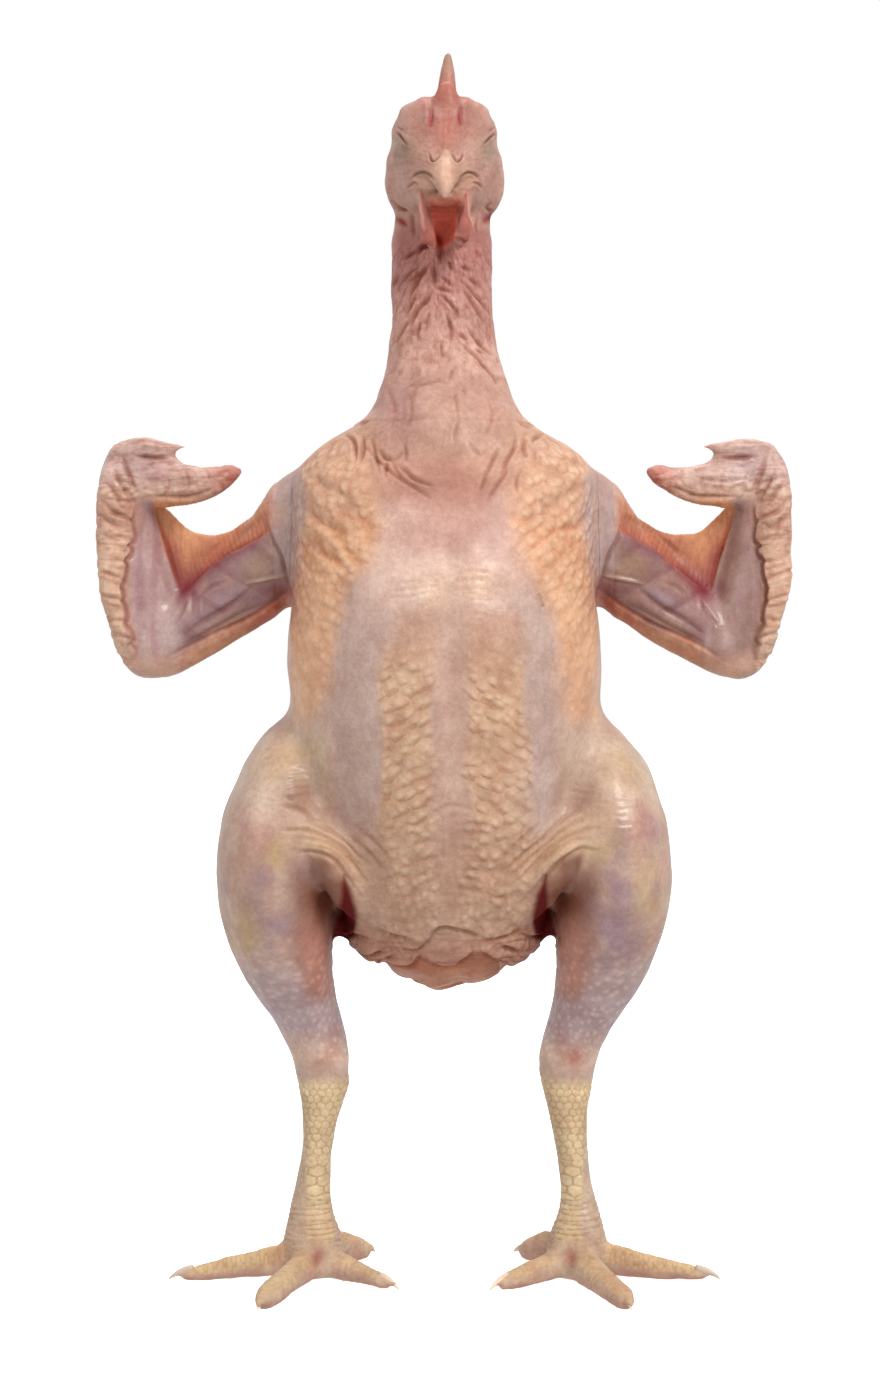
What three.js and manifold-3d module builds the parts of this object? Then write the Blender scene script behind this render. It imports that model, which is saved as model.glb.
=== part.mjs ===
// A whole plucked raw chicken with its head and feet on, standing upright with the wings held up.
// Millimetres, +Z up, -Y is the breast side. The origin is on the floor, under the middle of the
// bird's box, which is within a few millimetres of the middle between its feet.
// The bird is one piece: each limb is a closed loft, and all of them are joined into a single solid.
import * as THREE from "three";
import { mergeVertices } from "three/addons/utils/BufferGeometryUtils.js";
import Module from "manifold-3d";

const wasm = await Module();
wasm.setup();

// Driving dimensions.
const STANDING_HEIGHT = 513; // floor to the tip of the comb
const BODY_WIDTH = 133; // across the ribs
const BODY_DEPTH = 120; // keel to back
const BODY_BOTTOM = 130;
const BODY_TOP = 372;
const NECK_WIDTH = 42;
const SHANK_WIDTH = 13.2;
const KNEE_SPREAD = 71; // middle of the body to the middle of the thigh at the knee
const FOOT_SPREAD = 55; // middle of the body to the middle of the foot
const ELBOW_REACH = 126;
const WRIST_REACH = 139.4;
const BODY_SETBACK = 9; // how far back the body sits, so that its weight is over the feet
const UNDER_FLOOR = 40; // thickness of the slab that trims the soles flat

const Y = new THREE.Vector3(0, 1, 0);
const Z = new THREE.Vector3(0, 0, 1);

// A closed tube through stations of [x, y, z, half width, half depth]. The half depth is measured
// towards `up`, and `fullness` above 2 squares the section off.
function loft(stations, { up = Y, sides = 16, rings = 20, fullness = 2, swell = null } = {}) {
  const route = new THREE.CatmullRomCurve3(
    stations.map(([x, y, z]) => new THREE.Vector3(x, y, z)), false, "catmullrom", 0.5);
  const sizes = new THREE.CatmullRomCurve3(
    stations.map(([, , , wide, deep]) => new THREE.Vector3(wide, deep, 0)), false, "catmullrom", 0.5);
  const bulge = (value) => Math.sign(value) * Math.abs(value) ** (2 / fullness);
  const positions = [];
  for (let ring = 0; ring <= rings; ring++) {
    const t = ring / rings;
    const centre = route.getPoint(t);
    const along = route.getTangent(t);
    const deepAxis = up.clone().addScaledVector(along, -up.dot(along)).normalize();
    const wideAxis = new THREE.Vector3().crossVectors(deepAxis, along);
    const size = sizes.getPoint(t);
    for (let side = 0; side < sides; side++) {
      const angle = (2 * Math.PI * side) / sides;
      const grow = swell ? swell(t, angle) : 1;
      const point = centre.clone()
        .addScaledVector(wideAxis, Math.max(size.x, 0.2) * grow * bulge(Math.cos(angle)))
        .addScaledVector(deepAxis, Math.max(size.y, 0.2) * grow * bulge(Math.sin(angle)));
      positions.push(...point);
    }
  }
  positions.push(...route.getPoint(0), ...route.getPoint(1));
  const first = (rings + 1) * sides;
  const faces = [];
  for (let side = 0; side < sides; side++) {
    const next = (side + 1) % sides;
    for (let ring = 0; ring < rings; ring++) {
      const here = ring * sides;
      const above = here + sides;
      faces.push(here + side, here + next, above + next, here + side, above + next, above + side);
    }
    faces.push(first, next, side);
    faces.push(first + 1, rings * sides + side, rings * sides + next);
  }
  const geometry = new THREE.BufferGeometry();
  geometry.setAttribute("position", new THREE.Float32BufferAttribute(positions, 3));
  geometry.setIndex(faces);
  return geometry;
}

// A rounded lump: a sphere stretched to three half sizes, turned about Y and set in its place.
function lump(at, [wide, deep, tall], { lean = 0, sides = 14 } = {}) {
  return new THREE.SphereGeometry(1, sides, Math.round(sides * 0.7))
    .rotateX(Math.PI / 2)
    .scale(wide, deep, tall)
    .rotateY(lean)
    .translate(...at);
}

// A closed geometry as a manifold-3d solid.
function solidOf(geometry) {
  const bare = new THREE.BufferGeometry().setAttribute("position", geometry.getAttribute("position"));
  bare.setIndex(geometry.index);
  const merged = mergeVertices(bare, 1e-4);
  return new wasm.Manifold(new wasm.Mesh({
    numProp: 3,
    vertProperties: merged.attributes.position.array,
    triVerts: new Uint32Array(merged.index.array),
  }));
}

// The same geometry on the bird's other side.
function mirrored(geometry) {
  const copy = geometry.clone().scale(-1, 1, 1);
  const index = copy.index.array;
  for (let i = 0; i < index.length; i += 3) [index[i], index[i + 1]] = [index[i + 1], index[i]];
  return copy;
}

// Torso: each row is [share of the body's height, half width, front, back], the last three as
// shares of the half width and of the depth in front of and behind the body's middle line.
function torso() {
  const front = BODY_DEPTH * 0.58;
  const back = BODY_DEPTH * 0.42;
  const rows = [
    [0.0, 0.16, 0.1, 0.45],
    [0.035, 0.5, 0.38, 0.66],
    [0.09, 0.63, 0.58, 0.73],
    [0.16, 0.72, 0.75, 0.79],
    [0.26, 0.82, 0.87, 0.88],
    [0.37, 0.92, 0.95, 0.94],
    [0.48, 0.99, 0.99, 0.98],
    [0.58, 0.99, 1.0, 1.0],
    [0.67, 0.95, 0.98, 1.0],
    [0.74, 0.95, 0.9, 0.98],
    [0.81, 0.96, 0.78, 0.94],
    [0.87, 0.94, 0.66, 0.84],
    [0.915, 0.77, 0.56, 0.7],
    [0.955, 0.5, 0.42, 0.5],
    [1.0, 0.24, 0.2, 0.25],
  ];
  const stations = rows.map(([height, wide, ahead, behind]) => [
    0,
    (behind * back - ahead * front) / 2,
    THREE.MathUtils.lerp(BODY_BOTTOM, BODY_TOP, height),
    (wide * BODY_WIDTH) / 2,
    (behind * back + ahead * front) / 2,
  ]);
  return loft(stations, { sides: 26, rings: 20, fullness: 2.25 });
}

// Neck: loose skin, wider than deep, that flares forward over the crop and out to the shoulders.
function neck() {
  const half = NECK_WIDTH / 2;
  return loft([
    [0, -13, 326, 1.5 * half, 1.5 * half],
    [0, -12, 340, 1.75 * half, 1.6 * half],
    [0, -9, 353, 1.75 * half, 1.52 * half],
    [0, -6, 364, 1.48 * half, 1.3 * half],
    [0, -3, 375, 1.29 * half, 1.1 * half],
    [-0.6, -1, 388, 1.11 * half, 0.96 * half],
    [-1, 0, 405, 1.03 * half, 0.88 * half],
    [-1, 1, 425, half, 0.86 * half],
    [-1, 2, 442, half, 0.9 * half],
    [0, 3, 456, 0.8 * half, 0.8 * half],
  ], { sides: 18, rings: 13, fullness: 2.1 });
}

// Head: skull, closed eyes, ear lobes and the cheeks that run into the neck.
function head() {
  const skull = loft([
    [0, 28, 472, 7, 8],
    [0, 22, 472, 17, 18.5],
    [0, 11, 470.3, 22.8, 25.4],
    [0, -2, 468.8, 24.3, 27],
    [0, -14, 466, 21.5, 24],
    [0, -25, 461.5, 17, 18.5],
    [0, -32, 457.5, 12.5, 13],
    [0, -36, 455, 5, 6],
  ], { up: Z, sides: 18, rings: 12, fullness: 2.6 });
  const sidePieces = [
    lump([14.5, -11, 474.5], [8, 9, 8], { sides: 10 }), // closed eye
    lump([16.8, 1, 460], [8.2, 14, 13], { sides: 10 }), // ear lobe and cheek
  ];
  return [skull, ...sidePieces, ...sidePieces.map(mirrored)];
}

// Comb: one blade of five points along the skull, thick at the root and thin at the tips.
function comb() {
  const thickness = 12;
  const points = [
    [-27, 487],
    [-16, 501],
    [-2, STANDING_HEIGHT],
    [12, 509],
    [25, 499],
  ];
  const outline = new THREE.Shape();
  outline.moveTo(-35, 462);
  points.forEach(([y, z], i) => {
    const after = points[i + 1];
    outline.quadraticCurveTo(y - 5, z - 9, y - 1, z - 1.2);
    outline.quadraticCurveTo(y, z, y + 1.2, z - 1.2);
    if (after) outline.quadraticCurveTo(y + 3, z - 9, (y + after[0]) / 2 + 1, (z + after[1]) / 2 - 10);
  });
  outline.quadraticCurveTo(29, 488, 20, 478);
  outline.lineTo(0, 470);
  const blade = new THREE.ExtrudeGeometry(outline, { depth: thickness, bevelEnabled: false, curveSegments: 2 });
  blade.rotateX(Math.PI / 2).rotateZ(Math.PI / 2).translate(-thickness / 2, 0, 0);
  const root = 478;
  const lean = 1.6;
  const place = blade.getAttribute("position");
  for (let i = 0; i < place.count; i++) {
    const rise = THREE.MathUtils.clamp((place.getZ(i) - root) / (STANDING_HEIGHT - root), 0, 1);
    place.setX(i, place.getX(i) * THREE.MathUtils.lerp(1, 0.24, rise) + lean * rise);
  }
  return mergeVertices(new THREE.BufferGeometry().setAttribute("position", place), 1e-4);
}

// Beak: the hooked upper half over the shorter lower half.
function beak() {
  const upper = loft([
    [0, -28, 465, 11.5, 8],
    [0, -35, 462.5, 10.5, 6.8],
    [0, -41, 459.5, 8, 5.2],
    [0, -46.5, 455.5, 5, 4],
    [0, -50.5, 450.5, 2.6, 2.8],
    [0, -52, 446.8, 0.7, 0.9],
  ], { up: Z, sides: 10, rings: 8 });
  const lower = loft([
    [0, -26, 452, 10, 4],
    [0, -34, 450.5, 8.5, 3.6],
    [0, -41, 449.5, 6, 2.8],
    [0, -46, 449.5, 2.6, 1.6],
  ], { up: Z, sides: 8, rings: 4 });
  return [upper, lower];
}

// Wattles: two thin flaps that hang from the lower jaw and lean in at the bottom.
function wattles() {
  const flap = lump([7.4, -30, 441.5], [2.4, 9.5, 13], { lean: 0.2, sides: 10 });
  return [flap, mirrored(flap)];
}

// Tail: the soft, pointed flap at the end of the spine, and the skin round the vent in front of it.
function tail() {
  return [
    lump([0, 22, 131.5], [21, 10, 16], { sides: 12 }),
    lump([0, -1, 149], [48, 27, 21], { sides: 14 }),
  ];
}

// Leg: thigh, knee, drumstick, hock and shank in one line.
function leg() {
  const shank = SHANK_WIDTH / 2;
  return loft([
    [KNEE_SPREAD - 15, 15, 236, 7, 16],
    [KNEE_SPREAD - 11.4, 12, 228, 12.8, 27],
    [KNEE_SPREAD - 6, 6, 214, 19.8, 36],
    [KNEE_SPREAD - 2, 0, 196, 23, 41],
    [KNEE_SPREAD, -4, 178, 25.1, 40.5],
    [KNEE_SPREAD - 0.5, -3, 160, 24.4, 36],
    [KNEE_SPREAD - 2.7, 0, 144, 22.1, 30],
    [KNEE_SPREAD - 6.4, 4, 128, 18.4, 24],
    [FOOT_SPREAD + 5.4, 8, 115, 14.8, 19],
    [FOOT_SPREAD + 1.2, 11, 103, 13.2, 15.5],
    [FOOT_SPREAD - 2, 14, 93, 12.6, 13.8],
    [FOOT_SPREAD - 2.6, 15, 84, 11.8, 12.8],
    [FOOT_SPREAD - 2.8, 13, 76, 10.1, 11.5],
    [FOOT_SPREAD - 2, 10.5, 66, 8, 9.6],
    [FOOT_SPREAD - 1, 8, 55, shank, 8.4],
    [FOOT_SPREAD + 0.2, 5, 43, shank + 0.1, 8],
    [FOOT_SPREAD + 1.4, 3, 33, shank + 1.2, 8.4],
    [FOOT_SPREAD + 1.8, 1, 24, 9.8, 9.6],
    [FOOT_SPREAD + 1.2, -1, 14, 13, 12],
    [FOOT_SPREAD, -2, 3, 12, 12],
  ], { sides: 16, rings: 26, fullness: 2.1 });
}

// Flank web: the skin that stretches from the knee to the belly.
function flankWeb() {
  return loft([
    [62, -28, 204, 6, 7],
    [56, -30, 194, 9, 9],
    [48, -32, 183, 9, 10],
    [41, -30, 169, 8, 10],
    [37, -22, 156, 5, 7],
  ], { sides: 8, rings: 5 });
}

// One toe and its claw. The heading is measured from straight ahead, and positive turns away from
// the bird's middle line. The toe is rootHeight tall where it leaves the foot and lies flat.
function toe({ length, heading, width, rootHeight, tipHeight, rootLift = 0 }) {
  const turn = THREE.MathUtils.degToRad(heading);
  const soleCut = 0.7;
  const clawReach = 5;
  const ahead = (distance, height, wide, tall) => [
    FOOT_SPREAD + distance * Math.sin(turn), -distance * Math.cos(turn), height, wide / 2, tall / 2];
  const fleshAt = (share, wide = 1, tall = 1) => {
    const height = THREE.MathUtils.lerp(rootHeight, tipHeight, share) * tall;
    const lift = rootLift * (1 - share) ** 2;
    return ahead(length * share, lift + height / 2 - soleCut, width * wide, height);
  };
  const knuckles = (t) => 1 + 0.05 * Math.cos(t * Math.PI * 6);
  const flesh = loft([
    fleshAt(0, 1.2), fleshAt(0.22, 1.08), fleshAt(0.48), fleshAt(0.74, 0.94), fleshAt(0.93, 0.78, 0.95),
    fleshAt(1, 0.3, 0.6),
  ], { up: Z, sides: 8, rings: 7, swell: knuckles });
  const claw = loft([
    ahead(length * 0.86, tipHeight * 0.68, width * 0.5, tipHeight * 0.6),
    ahead(length + 0.4 * clawReach, tipHeight * 0.52, width * 0.34, tipHeight * 0.45),
    ahead(length + clawReach, tipHeight * 0.24, 1, 1),
  ], { up: Z, sides: 6, rings: 3 });
  return [flesh, claw];
}

function foot() {
  return [
    lump([FOOT_SPREAD, -2, 6], [13, 14, 9], { sides: 10 }),
    ...toe({ length: 57, heading: 78, width: 9.5, rootHeight: 18, tipHeight: 6 }), // outer
    ...toe({ length: 61, heading: 18, width: 13, rootHeight: 15, tipHeight: 8.5 }), // middle
    ...toe({ length: 42, heading: -50, width: 10.5, rootHeight: 15, tipHeight: 6.5 }), // inner
    ...toe({ length: 37, heading: -144, width: 9.5, rootHeight: 13, tipHeight: 7, rootLift: 9 }), // hind
  ];
}

// Wing: upper arm, forearm, hand and thumb, in a plane across the bird's back.
function wing() {
  const upperArm = loft([
    [46, 4, 328.5, 21, 15],
    [54, 6, 319.6, 24.5, 18],
    [64, 8, 309, 22.3, 17],
    [78, 10, 297.5, 18.5, 15],
    [93, 12, 286, 15.8, 13],
    [110, 13, 273, 13.6, 11.5],
    [ELBOW_REACH, 13, 263.5, 12.3, 10.5],
    [ELBOW_REACH + 7, 13, 259, 7, 6],
  ], { sides: 12, rings: 11 });
  const forearm = loft([
    [ELBOW_REACH - 4, 13, 257, 8, 7],
    [ELBOW_REACH + 1, 13, 265, 13.5, 10.5],
    [ELBOW_REACH + 4, 13, 284, 14.5, 11],
    [WRIST_REACH - 5, 12, 303, 13, 10.5],
    [WRIST_REACH - 4, 12, 320, 11.5, 9.5],
    [WRIST_REACH - 3, 11, 333, 11, 9],
    [WRIST_REACH - 3, 11, 343, 9.5, 8],
    [WRIST_REACH - 5, 11, 351, 5, 5],
  ], { sides: 12, rings: 11 });
  const hand = loft([
    [WRIST_REACH + 1, 10, 342, 7, 6],
    [WRIST_REACH - 5, 9, 341, 12, 7.5],
    [WRIST_REACH - 14, 7, 337.5, 13.4, 7.5],
    [WRIST_REACH - 26, 4, 334.6, 10.6, 6.5],
    [WRIST_REACH - 37, 2, 335, 7.8, 5.2],
    [WRIST_REACH - 45, 0, 337.2, 5.6, 4.4],
    [WRIST_REACH - 51, -1, 339.6, 3.8, 3.4],
    [WRIST_REACH - 54.6, -1, 341, 1, 1],
  ], { sides: 10, rings: 10 });
  const thumb = loft([
    [WRIST_REACH, 8, 346, 6.5, 5],
    [WRIST_REACH - 9, 5, 350, 5.5, 4.5],
    [WRIST_REACH - 18, 3, 350.6, 3.6, 3.5],
    [WRIST_REACH - 27, 2, 349.6, 0.8, 0.8],
  ], { sides: 6, rings: 6 });
  return [upperArm, forearm, hand, thumb];
}

// Trailing edge: the fleshy roll of skin where the flight feathers were rooted. Its scallops are
// the swollen root of each feather.
function trailingEdge() {
  const scallops = 8;
  const scalloped = (t, angle) => 1 + 0.16 * Math.cos(2 * Math.PI * scallops * t) * Math.max(0, -Math.cos(angle));
  const forearmRoll = loft([
    [ELBOW_REACH + 1, 6, 262, 3, 3],
    [ELBOW_REACH + 8, 5, 272, 6, 5.5],
    [WRIST_REACH + 0.5, 4, 290, 6.8, 6.5],
    [WRIST_REACH + 1.4, 3, 310, 7.2, 7],
    [WRIST_REACH + 1.2, 3, 326, 7.4, 7],
    [WRIST_REACH - 0.3, 4, 342, 6.5, 5.5],
  ], { sides: 7, rings: 3 * scallops, swell: scalloped });
  const armRoll = loft([
    [58, 12, 293, 6, 7],
    [72, 12, 285, 6, 7],
    [90, 12, 273.4, 6, 7],
    [107, 12, 263.6, 6, 6.5],
    [121, 12, 257, 5.5, 6],
  ], { sides: 6, rings: 6 });
  return [forearmRoll, armRoll];
}

// Wing web: the thin sheet of skin between shoulder and wrist, with a hollowed free edge.
function wingWeb() {
  const thickness = 3.6;
  const edge = new THREE.Shape();
  edge.moveTo(62, 330);
  edge.quadraticCurveTo(76, 326, 86, 319.5);
  edge.quadraticCurveTo(106, 308, 115, 321);
  edge.lineTo(122, 330);
  edge.lineTo(130, 330);
  edge.lineTo(126, 275);
  edge.lineTo(112, 272);
  edge.lineTo(66, 298);
  const sheet = new THREE.ExtrudeGeometry(edge, { depth: thickness, bevelEnabled: false, curveSegments: 5 });
  sheet.rotateX(Math.PI / 2).translate(0, 14 + thickness, 0);
  return mergeVertices(new THREE.BufferGeometry().setAttribute("position", sheet.getAttribute("position")), 1e-4);
}

const wings = [...wing(), ...trailingEdge(), wingWeb()].flatMap((piece) => [piece, mirrored(piece)]);
const body = [torso(), neck(), ...head(), comb(), ...beak(), ...wattles(), ...tail(), ...wings];
for (const piece of body) piece.translate(0, BODY_SETBACK, 0);
const legs = [leg(), flankWeb(), ...foot()].flatMap((piece) => [piece, mirrored(piece)]);
const pieces = [...body, ...legs];
const floorSlab = new THREE.BoxGeometry(2 * STANDING_HEIGHT, 2 * STANDING_HEIGHT, UNDER_FLOOR)
  .translate(0, 0, -UNDER_FLOOR / 2);

let bird = solidOf(pieces[0]);
for (const piece of pieces.slice(1)) bird = bird.add(solidOf(piece));
bird = bird.subtract(solidOf(floorSlab));

const joined = bird.getMesh();
const geometry = new THREE.BufferGeometry();
geometry.setAttribute("position", new THREE.Float32BufferAttribute(joined.vertProperties, 3));
geometry.setIndex(new THREE.BufferAttribute(joined.triVerts, 1));
geometry.computeBoundingBox();
const middle = geometry.boundingBox.getCenter(new THREE.Vector3());
geometry.translate(-middle.x, -middle.y, 0);
geometry.computeVertexNormals();

const chicken = new THREE.Mesh(
  geometry, new THREE.MeshStandardMaterial({ color: 0xd9a58c, roughness: 0.45, metalness: 0 }));
chicken.name = "chicken";

const group = new THREE.Group();
group.add(chicken);
export default group;
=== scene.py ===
# A whole plucked raw chicken with its head and feet on, standing with both wings held up.
# Lengths are in millimetres in the bird's own frame: +Z up, -Y the breast, the floor at 0. The
# finished meshes are turned into metres as they are made.
import itertools
import math

import bmesh
import bpy
import numpy as np
from mathutils import Matrix, Vector


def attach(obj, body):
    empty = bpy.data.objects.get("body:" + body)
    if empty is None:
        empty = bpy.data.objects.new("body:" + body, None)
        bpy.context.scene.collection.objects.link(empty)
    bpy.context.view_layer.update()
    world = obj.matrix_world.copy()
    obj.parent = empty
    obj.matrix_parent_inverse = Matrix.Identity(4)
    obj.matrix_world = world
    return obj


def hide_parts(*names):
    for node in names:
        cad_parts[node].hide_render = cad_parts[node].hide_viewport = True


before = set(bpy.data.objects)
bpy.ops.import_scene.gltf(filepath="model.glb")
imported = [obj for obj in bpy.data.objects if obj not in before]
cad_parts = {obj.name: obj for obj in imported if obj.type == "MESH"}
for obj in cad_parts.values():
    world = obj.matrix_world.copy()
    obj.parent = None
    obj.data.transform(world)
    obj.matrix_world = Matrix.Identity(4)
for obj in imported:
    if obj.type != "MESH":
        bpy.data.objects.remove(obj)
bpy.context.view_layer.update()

# ---------------------------------------------------------------------------------------------
# Camera. It stands a little over a metre in front of the bird, level with its wings, and looks
# down by a few degrees. Folds on the front of the bird are placed by where they appear from here.
# ---------------------------------------------------------------------------------------------
METRE = 1000.0
EYE = np.array([-1.9, -1198.0, 305.0])
LOOK_DOWN = math.radians(2.78)
VIEW_DISTANCE = 1200.0
FLOOR_DROP = 243.8  # how far under the middle of the view the floor appears, at that distance
PICTURE_HEIGHT = 1387
PIXEL = 0.42  # width of a pixel at the bird
SENSOR = 36.0

camera_data = bpy.data.cameras.new("camera")
camera_data.sensor_width = SENSOR
camera_data.lens = SENSOR * VIEW_DISTANCE / (PICTURE_HEIGHT * PIXEL)
camera_data.clip_end = 20.0
camera = bpy.data.objects.new("camera", camera_data)
camera.location = Vector(EYE) / METRE
camera.rotation_euler = (math.pi / 2 - LOOK_DOWN, 0, 0)
bpy.context.scene.collection.objects.link(camera)
bpy.context.scene.camera = camera


def seen(at):
    """How far right of the bird's middle, and above the floor, points appear from the front."""
    right, ahead, above = (at - EYE).T
    away = ahead * math.cos(LOOK_DOWN) - above * math.sin(LOOK_DOWN)
    rise_up = ahead * math.sin(LOOK_DOWN) + above * math.cos(LOOK_DOWN)
    across = right * VIEW_DISTANCE / away + EYE[0]
    return across, rise_up * VIEW_DISTANCE / away + FLOOR_DROP


# ---------------------------------------------------------------------------------------------
# Skin. The bird's skin is one unbroken sheet over muscle and fat. It is taken from the packed
# solid, evened out and smoothed, and then every region below raises its own folds on it and
# tints it. Neck, head, wings and scaled feet are stretches of their own that meet it at seams.
# ---------------------------------------------------------------------------------------------
def step(low, high, value):
    """0 below `low`, 1 above `high`, and a smooth ramp between them."""
    share = np.clip((value - low) / (high - low), 0, 1)
    return share * share * (3 - 2 * share)


def between(low, high, soft, value):
    """1 between two values, fading out over `soft` beyond each of them."""
    return step(low - soft, low, value) * (1 - step(high, high + soft, value))


def hump(middle, reach, value):
    return np.exp(-(((value - middle) / reach) ** 2))


def dice(cell, seed):
    """A fixed random number from -1 to 1 for each whole-numbered cell."""
    primes = np.array([73856093, 19349663, 83492791])[: cell.shape[1]]
    mixed = np.bitwise_xor.reduce(cell.astype(np.int64) * primes, axis=1) + seed * 2654435761
    mixed = (mixed ^ (mixed >> 15)) * 2246822519
    mixed = (mixed ^ (mixed >> 13)) * 3266489917
    return ((mixed ^ (mixed >> 16)) & 0xFFFF) / 32767.5 - 1


def lumps(at, size, seed):
    """Smooth random values from -1 to 1 that change over about `size`."""
    place = at / size
    cell = np.floor(place)
    share = place - cell
    share = share * share * (3 - 2 * share)
    cell = cell.astype(np.int64)
    total = np.zeros(len(at))
    for corner in itertools.product((0, 1), repeat=at.shape[1]):
        weight = np.ones(len(at))
        for axis, far in enumerate(corner):
            weight = weight * (share[:, axis] if far else 1 - share[:, axis])
        total += weight * dice(cell + np.array(corner), seed)
    return total


def curve_through(points, pieces=5):
    """A smooth curve through a few points, as many short straight pieces."""
    points = np.array(points, float)
    if len(points) < 3:
        return points
    held = np.concatenate([points[:1] * 2 - points[1:2], points, points[-1:] * 2 - points[-2:-1]])
    curve = []
    for before, start, end, after in zip(held, held[1:], held[2:], held[3:]):
        for t in np.arange(pieces) / pieces:
            bend = 2 * before - 5 * start + 4 * end - after
            twist = 3 * start - before - 3 * end + after
            curve.append(start + 0.5 * (t * (end - before) + t * t * bend + t**3 * twist))
    curve.append(points[-1])
    return np.array(curve)


def tapering(share):
    """1 in the middle of a line's length, falling off at its two ends."""
    return np.sqrt(np.clip(np.sin(math.pi * np.clip(share, 0.02, 0.98)), 0, 1))


def colour(red, green, blue):
    """A colour mixed on the usual 0 to 255 scale, as linear light."""
    share = np.array([red, green, blue]) / 255
    return np.where(share <= 0.04045, share / 12.92, ((share + 0.055) / 1.055) ** 2.4)


def averages(edges, count):
    """A function that gives each point the mean of its neighbours' values."""
    here = np.concatenate([edges[:, 0], edges[:, 1]])
    there = np.concatenate([edges[:, 1], edges[:, 0]])
    neighbours = np.maximum(np.bincount(here, minlength=count), 1)

    def mean(values):
        columns = values.reshape(count, -1)
        summed = [np.bincount(here, weights=column[there], minlength=count) for column in columns.T]
        return (np.stack(summed, axis=1) / neighbours[:, None]).reshape(values.shape)

    return mean


def points_of(mesh):
    place = np.empty(len(mesh.vertices) * 3)
    mesh.vertices.foreach_get("co", place)
    return place.reshape(-1, 3)


def normals_of(mesh):
    normal = np.empty(len(mesh.vertices) * 3, np.float32)
    mesh.vertex_normals.foreach_get("vector", normal)
    return normal.reshape(-1, 3).astype(float)


def smoothing(at):
    """How strongly each place is smoothed, in square millimetres: least where the form is small."""
    x, y, z = np.abs(at[:, 0]), at[:, 1], at[:, 2]
    wing = step(56, 74, x) * step(238, 250, z)
    hand = wing * step(322, 334, z) * step(70, 84, x)
    web = between(80, 118, 6, x) * between(286, 322, 6, z)
    arm_top = between(74, 98, 6, x) * between(300, 316, 5, z)
    rump = (1 - step(140, 152, z)) * (1 - step(38, 44, x))
    neck = step(350, 384, z) * (1 - wing)
    leg = (1 - step(205, 240, z)) * step(24, 40, x)
    body = 104 - 50 * neck - 40 * leg - 67 * wing - 18 * hand - 13 * web + 30 * arm_top
    body -= 60 * rump * (1 - step(0, 30, x - 14))
    comb = step(484, 492, z)
    beak = step(18, 26, -y) * between(440, 470, 4, z)
    wattle = step(2, 8, -y) * (1 - step(452, 458, z))
    head = 21 - 7 * comb - 9 * beak - 10 * wattle + 40 * step(480, 488, z) * step(5, 12, -y)
    foot = 8.5 + 6 * step(20, 34, z)
    amount = body + (head - body) * step(-4, 4, (at - JAW) @ JAW_UP)
    amount += (foot - amount) * (1 - step(70, 80, z))
    return np.maximum(amount, 8)


LAST_ROUNDS = 4  # light rounds of smoothing once the volume is back


def relax(mesh, grain):
    """Smooths facets and stair steps away, then gives the lost volume back."""
    edges = np.empty(len(mesh.edges) * 2, np.int32)
    mesh.edges.foreach_get("vertices", edges)
    start = points_of(mesh)
    mean = averages(edges.reshape(-1, 2), len(start))
    rounds = smoothing(start * METRE) / grain**2
    smooth = start.copy()
    for turn in range(int(rounds.max()) + 1):
        pull = np.clip(rounds - turn, 0, 1)
        smooth += (mean(smooth) - smooth) * pull[:, None]
    mesh.vertices.foreach_set("co", smooth.ravel())
    mesh.update()
    normal = normals_of(mesh)
    lost = ((start - smooth) * normal).sum(axis=1)
    for turn in range(int(rounds.max()) + 1):
        lost += (mean(lost) - lost) * np.clip(rounds - turn, 0, 1)
    smooth += normal * lost[:, None]
    for turn in range(LAST_ROUNDS):
        smooth += (mean(smooth) - smooth) * 0.9
    mesh.vertices.foreach_set("co", smooth.ravel())
    mesh.update()


def made_with(mesh, name, kind, **settings):
    """The mesh after one modifier."""
    piece = bpy.data.objects.new(name, mesh)
    bpy.context.scene.collection.objects.link(piece)
    modifier = piece.modifiers.new(name, kind)
    for setting, value in settings.items():
        setattr(modifier, setting, value)
    graph = bpy.context.evaluated_depsgraph_get()
    result = bpy.data.meshes.new_from_object(piece.evaluated_get(graph))
    bpy.data.objects.remove(piece)
    bpy.data.meshes.remove(mesh)
    return result


def seam(point, inward, lowest=-1.0):
    """A line where a stretch of skin ends: a point on it, the way into the stretch, and the
    height at which the line stops."""
    return np.array(point, float), np.array(inward, float), lowest


def lowest_corner(item):
    return min(corner.co.z for corner in getattr(item, "verts", [item]))


def stretch_of_bird(name, seams, grain):
    """The solid's surface up to its seams and a little past them, closed, even and smooth."""
    bm = bmesh.new()
    bm.from_mesh(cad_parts["chicken"].data)
    bmesh.ops.remove_doubles(bm, verts=bm.verts, dist=1e-6)
    for point, inward, lowest in seams:
        everything = bm.verts[:] + bm.edges[:] + bm.faces[:]
        bmesh.ops.bisect_plane(
            bm, geom=[item for item in everything if lowest_corner(item) > lowest / METRE],
            plane_co=Vector(point - OVERLAP * inward) / METRE, plane_no=inward, clear_inner=True)
        rim = [edge for edge in bm.edges if edge.is_boundary]
        bmesh.ops.holes_fill(bm, edges=rim, sides=0)
    bmesh.ops.triangulate(bm, faces=bm.faces)
    mesh = bpy.data.meshes.new(name)
    bm.to_mesh(mesh)
    bm.free()
    mesh = made_with(mesh, name, "REMESH", mode="VOXEL", voxel_size=grain / METRE)
    relax(mesh, grain)
    return made_with(mesh, name, "SUBSURF", levels=1, render_levels=1)


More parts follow.
